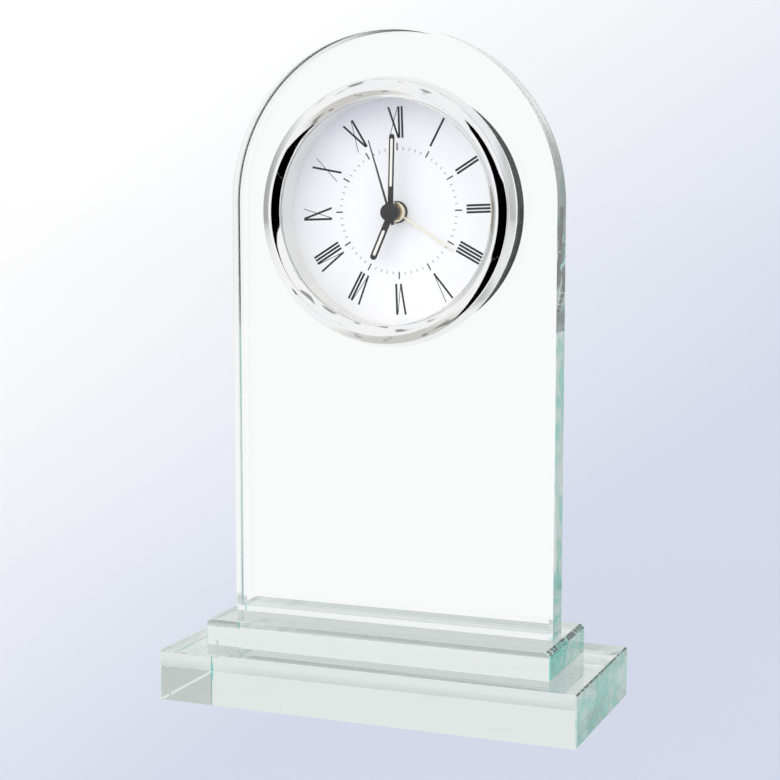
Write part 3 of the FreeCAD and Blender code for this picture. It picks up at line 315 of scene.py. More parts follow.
JADE_INDEX = 1.52
JADE_DENSITY = 6.0
JADE_CLEAR = (0.317, 0.483, 0.433, 1.0)
END_TINT = (0.10, 0.72, 0.63, 1.0)
PANEL_FOOT = (0.0300, 0.0312)
END_LEAN = (0.93, 0.99)
LOW_END_LEAN = (0.62, 0.70)
HOLE_LEAN = (0.40, 0.25)
HOLE_EDGE = (0.0450, 0.0440)
HOLE_LEFT = (0.0, -0.010)
HOLE_ROUGHNESS = 0.6
RIM_LEAN = (0.85, 0.78)
RIM_LEFT = (0.05, 0.02)
RIM_ROUGHNESS = 0.18
PATCH_SCALE = 85.0
PATCH_DISTORTION = 0.9
PATCH_LEVELS = (0.42, 0.60, 1.0, 0.05)
RIPPLE_SCALE = (60.0, 60.0, 300.0)
RIPPLE_STRENGTH = 0.12
RIPPLE_DEPTH = 0.0006


def make_glass_masks(tree, place):
    """Masks of the stand's cut ends, the left half of its hole and the left of its rim."""
    facing = add_node(tree, "ShaderNodeNewGeometry").outputs["True Normal"]
    facing_x, facing_y, _ = split(tree, facing)
    across, _, up = split(tree, place)
    height = calc(tree, "SUBTRACT", up, CLOCK_HEIGHT * MM)
    sideways = calc(tree, "ABSOLUTE", facing_x)
    ahead = calc(tree, "ABSOLUTE", facing_y)
    above = ranged(tree, up, *PANEL_FOOT)
    low_end = product(tree, ranged(tree, sideways, *LOW_END_LEAN), inverted(tree, above))
    on_end = calc(tree, "MAXIMUM", ranged(tree, sideways, *END_LEAN), low_end)
    squares = calc(tree, "ADD", product(tree, across, across), product(tree, height, height))
    apart = calc(tree, "SQRT", squares)
    in_hole = product(tree, ranged(tree, ahead, *HOLE_LEAN), above)
    in_hole = product(tree, in_hole, ranged(tree, apart, *HOLE_EDGE))
    in_hole = product(tree, in_hole, ranged(tree, across, *HOLE_LEFT))
    left_rim = product(tree, ranged(tree, ahead, *RIM_LEAN), above)
    left_rim = product(tree, left_rim, ranged(tree, across, *RIM_LEFT))
    return on_end, in_hole, left_rim


def make_jade_glass():
    """Float glass: clear through its faces, jade in patches at its cut ends, ground in its hole."""
    material, tree, shader, output = new_material("jade_float_glass")
    tint = {"Color": JADE_CLEAR, "Density": JADE_DENSITY}
    depth_tint = add_node(tree, "ShaderNodeVolumeAbsorption", tint)
    tree.links.new(depth_tint.outputs[0], output.inputs["Volume"])
    place = own_place(tree)
    on_end, in_hole, left_rim = make_glass_masks(tree, place)
    hole_ground = product(tree, in_hole, HOLE_ROUGHNESS)
    rim_ground = product(tree, left_rim, RIM_ROUGHNESS)
    patches = noise(tree, place, PATCH_SCALE, 3.0, PATCH_DISTORTION)
    deep = product(tree, ranged(tree, patches, *PATCH_LEVELS), inverted(tree, left_rim))
    stretch = {"Vector": place, "Scale": RIPPLE_SCALE}
    stretched = add_node(tree, "ShaderNodeMapping", stretch).outputs["Vector"]
    ripple = product(tree, noise(tree, stretched, 1.0, 1.5), on_end)
    look = {
        "Base Color": blend_colours(tree, product(tree, on_end, deep), WHITE, END_TINT),
        "Roughness": calc(tree, "MAXIMUM", hole_ground, rim_ground),
        "IOR": JADE_INDEX,
        "Transmission Weight": 1.0,
        "Normal": bumped(tree, ripple, RIPPLE_STRENGTH, RIPPLE_DEPTH),
    }
    fill(tree, shader, look)
    return material


def make_clear(name, colour, roughness, index):
    """A clear solid, with a faint drift of haze where it isn't polished."""
    material, tree, shader, _ = new_material(name)
    haze = roughness
    if roughness > 0.0:
        effect = add_effect(tree, grain_group, Size=500.0, Smooth=roughness * 0.7, Rough=roughness)
        haze = effect["Roughness"]
    look = {"Base Color": (*colour, 1.0), "Roughness": haze, "IOR": index, "Transmission Weight": 1.0}
    fill(tree, shader, look)
    return material


# Each has a name, two colours, the least and the most roughness, then the grain's size and strength
materials = {
    "jade_glass": make_jade_glass(),
    "clear_bumper": make_clear("clear_bumper", (0.93, 0.95, 0.95), 0.12, 1.45),
    "chrome_ring": make_chrome(),
    "clear_cover": make_clear("cover_glass", (1.0, 1.0, 1.0), 0.0, 1.25),
    "white_plastic": make_moulded("white_wall", (0.83, 0.83, 0.80), (0.87, 0.86, 0.83), 0.35, 0.5),
    "dial_white": make_moulded("dial_card", (0.90, 0.90, 0.92), (0.93, 0.93, 0.95), 0.7, 0.85, 2600.0, 0.1),
    "dark_plastic": make_moulded(
        "case_plastic", (0.012, 0.013, 0.013), (0.018, 0.019, 0.019), 0.5, 0.65, gloss=0.01
    ),
    "black_rubber": make_moulded(
        "band_rubber", (0.007, 0.007, 0.007), (0.011, 0.011, 0.011), 0.75, 0.9, gloss=0.01
    ),
    "black_plastic": make_moulded("back_plastic", (0.018, 0.018, 0.020), (0.028, 0.028, 0.030), 0.42, 0.6),
    "steel": make_metal("plated_steel", (0.60, 0.60, 0.58), (0.52, 0.52, 0.50), 0.2, 0.4),
    "cell_jacket": make_moulded("cell_jacket", (0.03, 0.10, 0.07), (0.04, 0.13, 0.09), 0.25, 0.35),
    "movement_plastic": make_moulded("natural_plastic", (0.80, 0.81, 0.78), (0.86, 0.86, 0.83), 0.3, 0.45),
    "gear_plastic": make_moulded("acetal", (0.84, 0.83, 0.76), (0.90, 0.89, 0.83), 0.25, 0.4),
    "board": make_moulded("solder_mask", (0.02, 0.14, 0.06), (0.03, 0.18, 0.08), 0.2, 0.3, 800.0, 0.15),
    "copper_wire": make_metal(
        "varnished_copper", (0.55, 0.20, 0.07), (0.44, 0.15, 0.05), 0.25, 0.4, 6000.0
    ),
    "magnet": make_moulded("sintered", (0.06, 0.06, 0.065), (0.09, 0.09, 0.095), 0.4, 0.55),
    "brass": make_metal("turned_brass", (0.78, 0.55, 0.22), (0.70, 0.47, 0.18), 0.12, 0.25),
    "gilt": make_metal("gilt", (0.97, 0.90, 0.70), (0.99, 0.93, 0.78), 0.25, 0.35),
    "black_paint": make_moulded("hand_black", (0.012, 0.010, 0.011), (0.020, 0.016, 0.018), 0.4, 0.55),
    "cream_paint": make_moulded("hand_lume", (0.86, 0.84, 0.75), (0.90, 0.88, 0.80), 0.6, 0.8, 3000.0, 0.4),
    "red_plastic": make_moulded("switch_red", (0.42, 0.02, 0.02), (0.48, 0.03, 0.025), 0.3, 0.45),
    "ink": make_moulded("dial_ink", (0.003, 0.003, 0.008), (0.006, 0.005, 0.012), 0.5, 0.6),
    "faint_ink": make_moulded("faint_dial_ink", (0.16, 0.16, 0.18), (0.24, 0.24, 0.26), 0.5, 0.6),
}

# Mesh helpers

SAME_PLACE = 1e-8
SOLID_SEAM = 2e-6
FLAT_ANGLE = math.radians(0.5)
SMOOTH_ANGLE = math.radians(35.0)
EDGE_ANGLE = math.radians(50.0)
dressed_nodes = set()


def place_mesh(name, bm):
    """Makes an object of a bmesh and puts it in the scene."""
    mesh = bpy.data.meshes.new(name)
    bm.to_mesh(mesh)
    bm.free()
    piece = bpy.data.objects.new(name, mesh)
    scene.collection.objects.link(piece)
    return piece


def finish_mesh(name, bm, slot):
    """Makes a piece of a bmesh, with smooth faces and sharp corners."""
    bmesh.ops.recalc_face_normals(bm, faces=bm.faces)
    piece = place_mesh(name, bm)
    mesh = piece.data
    mesh.polygons.foreach_set("use_smooth", [True] * len(mesh.polygons))
    mesh.set_sharp_from_angle(angle=SMOOTH_ANGLE)
    mesh.materials.append(materials[slot])
    return piece


def bake_modifiers(piece):
    """Turns a piece and its modifiers into one plain mesh."""
    bpy.context.view_layer.update()
    graph = bpy.context.evaluated_depsgraph_get()
    mesh = bpy.data.meshes.new_from_object(piece.evaluated_get(graph), depsgraph=graph)
    piece.modifiers.clear()
    piece.data = mesh


EASE_REACH = 0.45


def eased(outline, radius, steps):
    """Rounds each corner of a closed outline by a small curve."""
    rounded = []
    count = len(outline)
    for index, corner in enumerate(outline):
        here = Vector(corner)
        before = Vector(outline[index - 1]) - here
        after = Vector(outline[(index + 1) % count]) - here
        reach = min(radius, before.length * EASE_REACH, after.length * EASE_REACH)
        start = here + before.normalized() * reach
        stop = here + after.normalized() * reach
        for step in range(steps + 1):
            share = step / steps
            near = start.lerp(here, share)
            far = here.lerp(stop, share)
            rounded.append(tuple(near.lerp(far, share)))
    return rounded


def turned(name, outline, slot, steps):
    """Turns a closed outline of radii and forward distances about the dial's axis."""
    bm = bmesh.new()
    rings = []
    for step in range(steps):
        turn = 2 * math.pi * step / steps
        across = math.cos(turn)
        up = math.sin(turn)
        rings.append([bm.verts.new(clock_point(r * across, r * up, z)) for r, z in outline])
    count = len(outline)
    for step in range(steps):
        here = rings[step]
        there = rings[(step + 1) % steps]
        for index in range(count):
            other = (index + 1) % count
            if outline[index][0] > 0.0 or outline[other][0] > 0.0:
                bm.faces.new((here[index], here[other], there[other], there[index]))
    bmesh.ops.remove_doubles(bm, verts=bm.verts, dist=SAME_PLACE)
    return finish_mesh(name, bm, slot)


def rest_on(piece, body, slot, *nodes):
    """Puts a piece on its body, in the place of the nodes it stands for."""
    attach(piece, body)
    if nodes:
        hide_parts(*nodes)
        dressed_nodes.update(nodes)
    return piece


def dress(node, body, slot, soften):
    """A clean, smooth-shaded copy of a node's solid, with its hard edges slightly rounded."""
    bm = bmesh.new()
    bm.from_mesh(frame["nodes"][node].data)
    bmesh.ops.remove_doubles(bm, verts=bm.verts, dist=SOLID_SEAM)
    if soften > 0.0:
        bmesh.ops.dissolve_limit(
            bm, angle_limit=FLAT_ANGLE, verts=bm.verts, edges=bm.edges, delimit={"NORMAL"}
        )
    piece = finish_mesh(f"{node}_finished", bm, slot)
    if soften > 0.0:
        edge = piece.modifiers.new("edge", "BEVEL")
        edge.width = soften * MM
        edge.segments = 2
        edge.limit_method = "ANGLE"
        edge.angle_limit = EDGE_ANGLE
        edge.use_clamp_overlap = True
        bake_modifiers(piece)
        piece.data.set_sharp_from_angle(angle=SMOOTH_ANGLE)
    return rest_on(piece, body, slot, node)


# The glass stand, in millimetres

SEAM = 0.02
TOUCH = 0.01
SLAB_BEVEL = 0.5
PLINTH_END_BEVEL = 1.4
PLINTH_BEVEL = 0.35
BOND_DEPTH = 0.7
SHARP_ANGLE = 1.2
STAND_ANGLE = math.radians(12.0)


def glass_block(name, node, bevels):
    """A glass slab with finely bevelled edges, a hair short of what is bonded on it."""
    low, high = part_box(node)
    low = low / MM
    high = high / MM - Vector((0.0, 0.0, SEAM))
    bm = bmesh.new()
    bmesh.ops.create_cube(bm, size=1.0)
    centre = (low + high) / 2
    size = high - low
    for vert in bm.verts:
        vert.co = (centre + Vector(vert.co[i] * size[i] for i in range(3))) * MM
    for wanted, width in bevels:
        edges = [edge for edge in bm.edges if wanted(edge, low, high)]
        bmesh.ops.bevel(
            bm, geom=edges, offset=width * MM, segments=1, affect="EDGES", clamp_overlap=True
        )
    return finish_mesh(name, bm, "jade_glass")


def top_end(edge, low, high):
    """True for the two end edges of a slab's top."""
    a, b = (vert.co / MM for vert in edge.verts)
    return min(a.z, b.z) > high.z - TOUCH and abs(a.x - b.x) < TOUCH


def other_edge(edge, low, high):
    """True for the straight edges of a slab other than those at its top ends."""
    sharp = edge.is_manifold and edge.calc_face_angle(0.0) > SHARP_ANGLE
    return sharp and not top_end(edge, low, high)


def shown_edge(edge, low, high):
    """True for the edges of other_edge, but for the hidden one at the foot of the back."""
    points = [vert.co / MM for vert in edge.verts]
    hidden = all(point.z < low.z + TOUCH and point.y > high.y - TOUCH for point in points)
    return other_edge(edge, low, high) and not hidden


PANEL_HOLE = 42.9
PANEL_BEVEL = 1.1
ARCH_STEPS = 192
SIDE_STEPS = 20
FOOT_STEPS = 24


def panel_path(half, bottom, spring):
    """Points round the panel's outline, in order, with its two lower corners exact."""
    path = []
    for step in range(ARCH_STEPS + 1):
        turn = math.pi * step / ARCH_STEPS
        path.append((half * math.cos(turn), spring + half * math.sin(turn)))
    for step in range(1, SIDE_STEPS):
        path.append((-half, spring + (bottom - spring) * step / SIDE_STEPS))
    for step in range(FOOT_STEPS + 1):
        path.append((-half + 2 * half * step / FOOT_STEPS, bottom))
    for step in range(1, SIDE_STEPS):
        path.append((half, bottom + (spring - bottom) * step / SIDE_STEPS))
    return path


def make_panel():
    """The upright panel: half-round top, bevelled edges and the hole that holds the clock."""
    low, high = (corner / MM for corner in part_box("arch_panel"))
    half = (high.x - low.x) / 2
    spring = high.z - half
    front = low.y
    back = high.y
    outer = panel_path(half, low.z, spring)
    inner = panel_path(half - PANEL_BEVEL, low.z, spring)
    bm = bmesh.new()

    def loop(path, depth):
        return [bm.verts.new(stand_point(x, depth, z)) for x, z in path]

    def hole(depth):
        verts = []
        for x, z in outer:
            out = Vector((x, z - CLOCK_HEIGHT)).normalized() * PANEL_HOLE
            verts.append(bm.verts.new(stand_point(out.x, depth, CLOCK_HEIGHT + out.y)))
        return verts

    loops = [
        hole(back),
        hole(front),
        loop(inner, front),
        loop(outer, front + PANEL_BEVEL),
        loop(outer, back - PANEL_BEVEL),
        loop(inner, back),
    ]
    count = len(outer)
    for index, here in enumerate(loops):
        there = loops[(index + 1) % len(loops)]
        for step in range(count):
            other = (step + 1) % count
            bm.faces.new((here[step], here[other], there[other], there[step]))
    return finish_mesh("arch_panel_glass", bm, "jade_glass")


def make_bond(name, node, across_inset, along_inset):
    """The film of clear adhesive under a glass piece, thick enough to reach into both pieces."""
    low, high = (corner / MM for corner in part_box(node))
    bm = bmesh.new()
    bmesh.ops.create_cube(bm, size=1.0)
    for vert in bm.verts:
        across = (low.x + high.x) / 2 + vert.co.x * (high.x - low.x - 2 * across_inset)
        along = (low.y + high.y) / 2 + vert.co.y * (high.y - low.y - 2 * along_inset)
        vert.co = stand_point(across, along, low.z + vert.co.z * BOND_DEPTH)
    return finish_mesh(name, bm, "jade_glass")


def make_glass_stand():
    """Slab, plinth and panel, bonded with a clear adhesive, so that light crosses the joints."""
    slab_bevels = [(shown_edge, SLAB_BEVEL), (top_end, SLAB_BEVEL)]
    plinth_bevels = [(top_end, PLINTH_END_BEVEL), (other_edge, PLINTH_BEVEL)]
    stand = glass_block("glass_stand", "lower_slab", slab_bevels)
    others = [
        make_bond("lower_bond", "plinth", 0.4, 0.4),
        glass_block("plinth_glass", "plinth", plinth_bevels),
        make_bond("upper_bond", "arch_panel", 0.15, 0.06),
        make_panel(),
    ]
    for index, other in enumerate(others):
        union = stand.modifiers.new(f"union_{index}", "BOOLEAN")
        union.operation = "UNION"
        union.solver = "EXACT"
        union.object = other
        bake_modifiers(stand)
    for other in others:
        bpy.data.objects.remove(other)
    mesh = stand.data
    mesh.materials.clear()
    mesh.materials.append(materials["jade_glass"])
    mesh.polygons.foreach_set("material_index", [0] * len(mesh.polygons))
    mesh.polygons.foreach_set("use_smooth", [True] * len(mesh.polygons))
    mesh.set_sharp_from_angle(angle=STAND_ANGLE)
    return rest_on(stand, "stand", "jade_glass", "lower_slab", "plinth", "arch_panel")


make_glass_stand()

FOOT_INSET = 4.75
FOOT_SIDES = 48
FOOT_EASE = 0.25


def make_feet():
    """Four clear bumpers, domed at the rim, a hair below the slab they are stuck to."""
    low, high = (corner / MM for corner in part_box("bumper_feet"))
    tall = high.z - SEAM
    profile = [(0.0, 0.0), (3.6, 0.0), (4.0, 0.12), (4.35, 0.5)]
    profile += [(4.65, tall - FOOT_EASE), (4.7, tall), (0.0, tall)]
    bm = bmesh.new()
    for side, end in ((-1, -1), (-1, 1), (1, -1), (1, 1)):
        middle = Vector(((high.x - FOOT_INSET) * side, (high.y - FOOT_INSET) * end))
        rings = []
        for step in range(FOOT_SIDES):
            turn = 2 * math.pi * step / FOOT_SIDES
            spots = [(middle + Vector((math.cos(turn), math.sin(turn))) * r, z) for r, z in profile]
            rings.append([bm.verts.new(stand_point(spot.x, spot.y, z)) for spot, z in spots])
        for step in range(FOOT_SIDES):
            here = rings[step]
            there = rings[(step + 1) % FOOT_SIDES]
            for index in range(len(profile) - 1):
                bm.faces.new((here[index], there[index], there[index + 1], here[index + 1]))
    bmesh.ops.remove_doubles(bm, verts=bm.verts, dist=SAME_PLACE)
    feet = finish_mesh("clear_bumpers", bm, "clear_bumper")
    return rest_on(feet, "stand", "clear_bumper", "bumper_feet")


make_feet()

# The bezel, the cover glass and the dial

BEZEL_OUTLINE = [
    (37.6, 10.0),
    (37.6, 10.6),
    (40.1, 12.8),
    (40.8, 12.8),
    (43.6, 11.2),
    (45.0, 6.4),
    (45.0, 6.0),
    (40.85, 6.0),
    (40.85, 3.0),
    (39.15, 3.0),
    (39.15, 10.0),
]
BOW_SHARE = 0.016
BOW_STEPS = 8
BEZEL_HEART = (41.0, 9.0)
SHORT_FACE = 1.2
GLASS_CONTACT = 6.1


def bowed(outline):
    """Swells the long visible faces of a ring's outline, as pressing and polishing leave them."""
    swollen = []
    heart = Vector(BEZEL_HEART)
    for index, corner in enumerate(outline):
        here = Vector(corner)
        after = Vector(outline[(index + 1) % len(outline)])
        swollen.append(tuple(here))
        run = after - here
        if run.length < SHORT_FACE or min(here.y, after.y) < GLASS_CONTACT:
            continue
        out = Vector((-run.y, run.x)).normalized()
        if out.dot((here + after) / 2 - heart) < 0.0:
            out = -out
        for step in range(1, BOW_STEPS):
            along = step / BOW_STEPS
            rise = 4 * along * (1 - along) * BOW_SHARE * run.length
            swollen.append(tuple(here + run * along + out * rise))
    return swollen


BEZEL_EASE = 0.35
CRYSTAL_RADIUS = 39.05
CRYSTAL_BACK = 8.4
CRYSTAL_FRONT = 9.98
CARD_HOLE = 3.4
CARD_RADIUS = 39.5
CARD_THICKNESS = 0.5

bezel_outline = bowed(eased(BEZEL_OUTLINE, BEZEL_EASE, 5))
crystal_outline = [
    (0.0, CRYSTAL_BACK),
    (CRYSTAL_RADIUS, CRYSTAL_BACK),
    (CRYSTAL_RADIUS, CRYSTAL_FRONT),
    (0.0, CRYSTAL_FRONT),
]
wall_outline = [(38.4, DIAL_FRONT), (39.1, DIAL_FRONT), (39.1, CRYSTAL_BACK), (37.7, CRYSTAL_BACK)]
card_outline = [
    (CARD_HOLE, DIAL_FRONT - CARD_THICKNESS),
    (CARD_RADIUS, DIAL_FRONT - CARD_THICKNESS),
    (CARD_RADIUS, DIAL_FRONT),
    (CARD_HOLE, DIAL_FRONT),
]
bezel = turned("bezel_chrome", bezel_outline, "chrome_ring", 288)
rest_on(bezel, "stand", "chrome_ring", "bezel")
crystal = turned("cover_glass", crystal_outline, "clear_cover", 128)
rest_on(crystal, "stand", "clear_cover", "crystal")
wall = turned("dial_wall", wall_outline, "white_plastic", 192)
rest_on(wall, "stand", "white_plastic", "dial_ring")
card = turned("dial_card", card_outline, "dial_white", 128)
rest_on(card, "stand", "dial_white", "dial")

# Printing on the dial

PRINT_BASE = 0.002
PRINT_HEIGHT = 0.012
TRACK_HEIGHT = 0.008
NUMERAL_TURN = -2.0
PRINT_TURN = -1.1
PRINT_SHIFT = 0.3
PRINT_RISE = 0.3
NUMERAL_FOOT = 24.5
NUMERAL_TOP = 35.0
THICK = 0.74
THIN = 0.24
BAR_STEP = 1.14
X_WIDTH = 3.4
V_WIDTH = 2.8
V_FOOT = 0.52
V_WEIGHT = 0.92
I_GAP = 0.30
V_GAP = 0.35
X_GAP = 0.30
NUMERALS = ("XII", "I", "II", "III", "IIII", "V", "VI", "VII", "VIII", "IX", "X", "XI")


def strokes_of(numeral):
    """The strokes of a numeral: start and end across, at foot and top, with their thickness."""
    strokes = []
    pen = 0.0
    previous = ""
    for letter in numeral:
        if letter == "I":
            pen += BAR_STEP if previous == "I" else I_GAP * bool(previous)
            strokes.append((pen, pen, THICK))
        elif letter == "V":
            pen += V_GAP * bool(previous)
            strokes.append((pen + V_WIDTH * V_FOOT, pen, THICK * V_WEIGHT))
            strokes.append((pen + V_WIDTH * V_FOOT, pen + V_WIDTH, THIN))
            pen += V_WIDTH
        else:
            pen += X_GAP * bool(previous)
            strokes.append((pen + X_WIDTH, pen, THICK))
            strokes.append((pen, pen + X_WIDTH, THIN))
            pen += X_WIDTH
        previous = letter
    shift = pen / 2
    return [(foot - shift, top - shift, thickness) for foot, top, thickness in strokes]


def make_numerals():
    """Prints the twelve hours, feet to the centre."""
    bm = bmesh.new()
    lift = DIAL_FRONT + PRINT_HEIGHT
    for hour, numeral in enumerate(NUMERALS):
        turn = math.radians(30 * hour + NUMERAL_TURN)
        right = Vector((math.cos(turn), -math.sin(turn)))
        out = Vector((math.sin(turn), math.cos(turn)))
        for foot, top, thickness in strokes_of(numeral):
            half = thickness / 2
            corners = (
                (foot - half, NUMERAL_FOOT),
                (foot + half, NUMERAL_FOOT),
                (top + half, NUMERAL_TOP),
                (top - half, NUMERAL_TOP),
            )
            upper = []
            lower = []
            for across, reach in corners:
                spot = right * across + out * reach + Vector((PRINT_SHIFT, PRINT_RISE))
                upper.append(bm.verts.new(clock_point(spot.x, spot.y, lift)))
                lower.append(bm.verts.new(clock_point(spot.x, spot.y, DIAL_FRONT + PRINT_BASE)))
            bm.faces.new(upper)
            bm.faces.new(lower[::-1])
            for index in range(4):
                other = (index + 1) % 4
                bm.faces.new((lower[index], lower[other], upper[other], upper[index]))
    return rest_on(finish_mesh("hour_numerals", bm, "ink"), "stand", "dial_white")


make_numerals()


def make_track_tree():
    """Geometry nodes that print a ring of sixty bars, with a longer one at each hour."""
    tree = bpy.data.node_groups.new("minute_track", "GeometryNodeTree")
    sizes = {
        "Hour Foot": 20.4 * MM,
        "Hour Length": 2.5 * MM,
        "Hour Width": 0.46 * MM,
        "Minute Foot": 20.5 * MM,
        "Minute Length": 1.0 * MM,
        "Minute Width": 0.24 * MM,
        "Thickness": 0.01 * MM,
    }
    tree.interface.new_socket("Geometry", in_out="INPUT", socket_type="NodeSocketGeometry")
    for label, value in sizes.items():
        socket = tree.interface.new_socket(label, in_out="INPUT", socket_type=FLOAT)
        socket.default_value = value
    for label in ("Hour Ink", "Minute Ink"):
        tree.interface.new_socket(label, in_out="INPUT", socket_type="NodeSocketMaterial")
    tree.interface.new_socket("Geometry", in_out="OUTPUT", socket_type="NodeSocketGeometry")
    given = add_node(tree, "NodeGroupInput").outputs
    end = add_node(tree, "NodeGroupOutput")
    joined = add_node(tree, "GeometryNodeJoinGeometry")
    index = add_node(tree, "GeometryNodeInputIndex").outputs[0]
    rest = {2: calc(tree, "FLOORED_MODULO", index, 5.0), 3: 0}
    fifth = add_node(tree, "FunctionNodeCompare", rest, data_type="INT", operation="EQUAL").outputs[0]
    other = add_node(tree, "FunctionNodeBooleanMath", {0: fifth}, operation="NOT").outputs[0]
    for kind, chosen in (("Hour", fifth), ("Minute", other)):
        length = given[f"{kind} Length"]
        middle = calc(tree, "ADD", given[f"{kind} Foot"], calc(tree, "MULTIPLY", length, 0.5))
        ring = add_node(tree, "GeometryNodeMeshCircle", {"Vertices": 60, "Radius": middle})
        size = combine(tree, X=length, Y=given[f"{kind} Width"], Z=given["Thickness"])
        bar = add_node(tree, "GeometryNodeMeshCube", {"Size": size})
        x, y, _ = split(tree, add_node(tree, "GeometryNodeInputPosition").outputs[0])
        placing = {
            "Points": ring.outputs["Mesh"],
            "Selection": chosen,
            "Instance": bar.outputs["Mesh"],
            "Rotation": combine(tree, Z=calc(tree, "ARCTAN2", y, x)),
        }
        copies = add_node(tree, "GeometryNodeInstanceOnPoints", placing).outputs[0]
        inking = {"Geometry": copies, "Material": given[f"{kind} Ink"]}
        inked = add_node(tree, "GeometryNodeSetMaterial", inking)
        tree.links.new(inked.outputs[0], joined.inputs[0])
    solid = add_node(tree, "GeometryNodeRealizeInstances", {0: joined.outputs[0]})
    tree.links.new(solid.outputs[0], end.inputs[0])
    return tree


def set_input(modifier, label, value):
    """Sets a geometry nodes input by its socket's identifier."""
    for item in modifier.node_group.interface.items_tree:
        if item.item_type == "SOCKET" and item.in_out == "INPUT" and item.name == label:
            modifier[item.identifier] = value


def make_track():
    """Prints the minute track round the dial."""
    piece = bpy.data.objects.new("minute_track", bpy.data.meshes.new("minute_track"))
    scene.collection.objects.link(piece)
    marks = piece.modifiers.new("marks", "NODES")
    marks.node_group = make_track_tree()
    set_input(marks, "Hour Ink", materials["ink"])
    set_input(marks, "Minute Ink", materials["faint_ink"])
    bake_modifiers(piece)
    spin = Euler((0.0, 0.0, -math.radians(PRINT_TURN))).to_matrix().to_4x4()
    upright = Euler((math.pi / 2, 0.0, 0.0)).to_matrix().to_4x4() @ spin
    upright.translation = clock_point(PRINT_SHIFT, PRINT_RISE, DIAL_FRONT + TRACK_HEIGHT)
    piece.data.transform(upright)
    return rest_on(piece, "stand", "dial_white")


make_track()

# The pieces that follow their solids: hands, case, back and movement, some with eased edges

BODIES = frame["record"]["behaviour"]["bodies"]
BODY_OF = {node: body for body, nodes in BODIES.items() for node in nodes}
SLOT_OF = {item["node"]: item["material_slot"] for item in frame["record"]["subparts"]}
SOFTENED = {
    "boss_nut": 0.12,
    "alarm_hand": 0.05,
    "hour_collar": 0.1,
    "hour_hand": 0.08,
    "hour_lume": 0.0,
    "minute_hand": 0.08,
    "minute_lume": 0.0,
    "second_hand": 0.04,
    "hub_seat": 0.05,
    "hub_cap": 0.15,
    "housing": 0.0,
    "grip_band": 0.0,
    "rear_cover": 0.25,
    "battery_door": 0.15,
    "alarm_switch": 0.2,
    "time_knob": 0.15,
    "alarm_knob": 0.15,
}

for node in (*SOFTENED, *BODY_OF):
    if node not in dressed_nodes:
        dress(node, BODY_OF[node], SLOT_OF[node], SOFTENED.get(node, 0.0))

# Floor, light and surroundings

LAVENDER = (0.658, 0.701, 0.823, 1.0)
SWEEP_ACROSS = (0.9901, 0.2179, -1.4705)
SWEEP_AHEAD = (-0.3704, 0.9220, -0.1128)
SWEEP_LEAST = 0.25
SWEEP_LEVELS = (-0.3565, 0.2211)
PAPER_LEVELS = (0.2, 3.0, 0.992, 0.972)
STUDIO_FILL = (0.89, 0.89, 0.89, 1.0)

# Zones of the floor, as distances from the clock's middle at which each fades in
# The next two set the edges of the painted shadow under the stand's footprint, across and along
SHADOW_ACROSS = (0.085, 0.062)
SHADOW_ALONG = (0.048, 0.020)
BEHIND_FROM = (0.035, 0.060)
BEHIND_TO = (0.27, 0.19)
RIGHT_FROM = (0.085, 0.12)
NEAR_TO = (0.165, 0.105)
FRONT_FROM = (-0.034, -0.050)
DISTANT_FROM = (0.4, 3.0)
# Painted shadow: the floor's tone under the glass stand, standing in for the shadow the stand itself does
# not cast
SHADOW_UNDER_GLASS = (0.50, 0.56, 0.54, 1.0)
BACK_RIGHT = (0.60, 0.63, 0.62, 1.0)
NEAR_FLOOR = (0.66, 0.65, 0.61, 1.0)
FLOOR_BLOT_SCALE = 26.0
FLOOR_BLOT_LEVELS = (0.56, 0.62, 0.0, 0.75)
FLOOR_BLOT_TONE = (0.15, 0.15, 0.14, 1.0)

# Grey zones of the room: the way to each, the leans at which it starts and is full, its level
LEFT_SHADE = ((-0.99, 0.10, 0.0), 0.80, 0.97, 0.45)
RIGHT_SHADE = ((0.82, 0.57, 0.0), 0.92, 0.99, 0.60)
HIGH_SHADE = ((0.60, 0.76, 0.25), 0.950, 0.985, 0.70)
ROOM_BLOT_SCALE = 5.5
ROOM_BLOT_HEIGHT = (0.58, 0.72)
ROOM_BLOT_LEVELS = (0.58, 0.66, 0.0, 0.8)
ROOM_BLOT_TONE = (0.2, 0.2, 0.2, 1.0)


def make_sweep_group():
    """The paper sweep behind the clock: white high on the left, running to lavender low on the right."""
    inputs = {"Direction": "NodeSocketVector"}
    tree, given, end = open_group("paper_sweep", inputs, {"Color": COLOUR})
    drop = vector_calc(tree, "DOT_PRODUCT", given[0], SWEEP_ACROSS)
    ahead = vector_calc(tree, "DOT_PRODUCT", given[0], SWEEP_AHEAD)
    level = calc(tree, "DIVIDE", drop, calc(tree, "MAXIMUM", ahead, SWEEP_LEAST))
    fill(tree, end, {0: blend_colours(tree, ranged(tree, level, *SWEEP_LEVELS), WHITE, LAVENDER)})
    return tree


sweep_group = make_sweep_group()


def polished_rays(tree, rays):
    """A mask of the rays that come off polished metal or through glass."""
    return calc(tree, "MAXIMUM", rays["Is Glossy Ray"], rays["Is Transmission Ray"])


def shade_towards(tree, direction, compass, near, far, level, colour):
    """Darkens a studio colour towards one side of the room."""
    lean = vector_calc(tree, "DOT_PRODUCT", direction, compass)
    shade = (level, level, level * 0.99, 1.0)
    return blend_colours(tree, ranged(tree, lean, near, far), colour, shade)


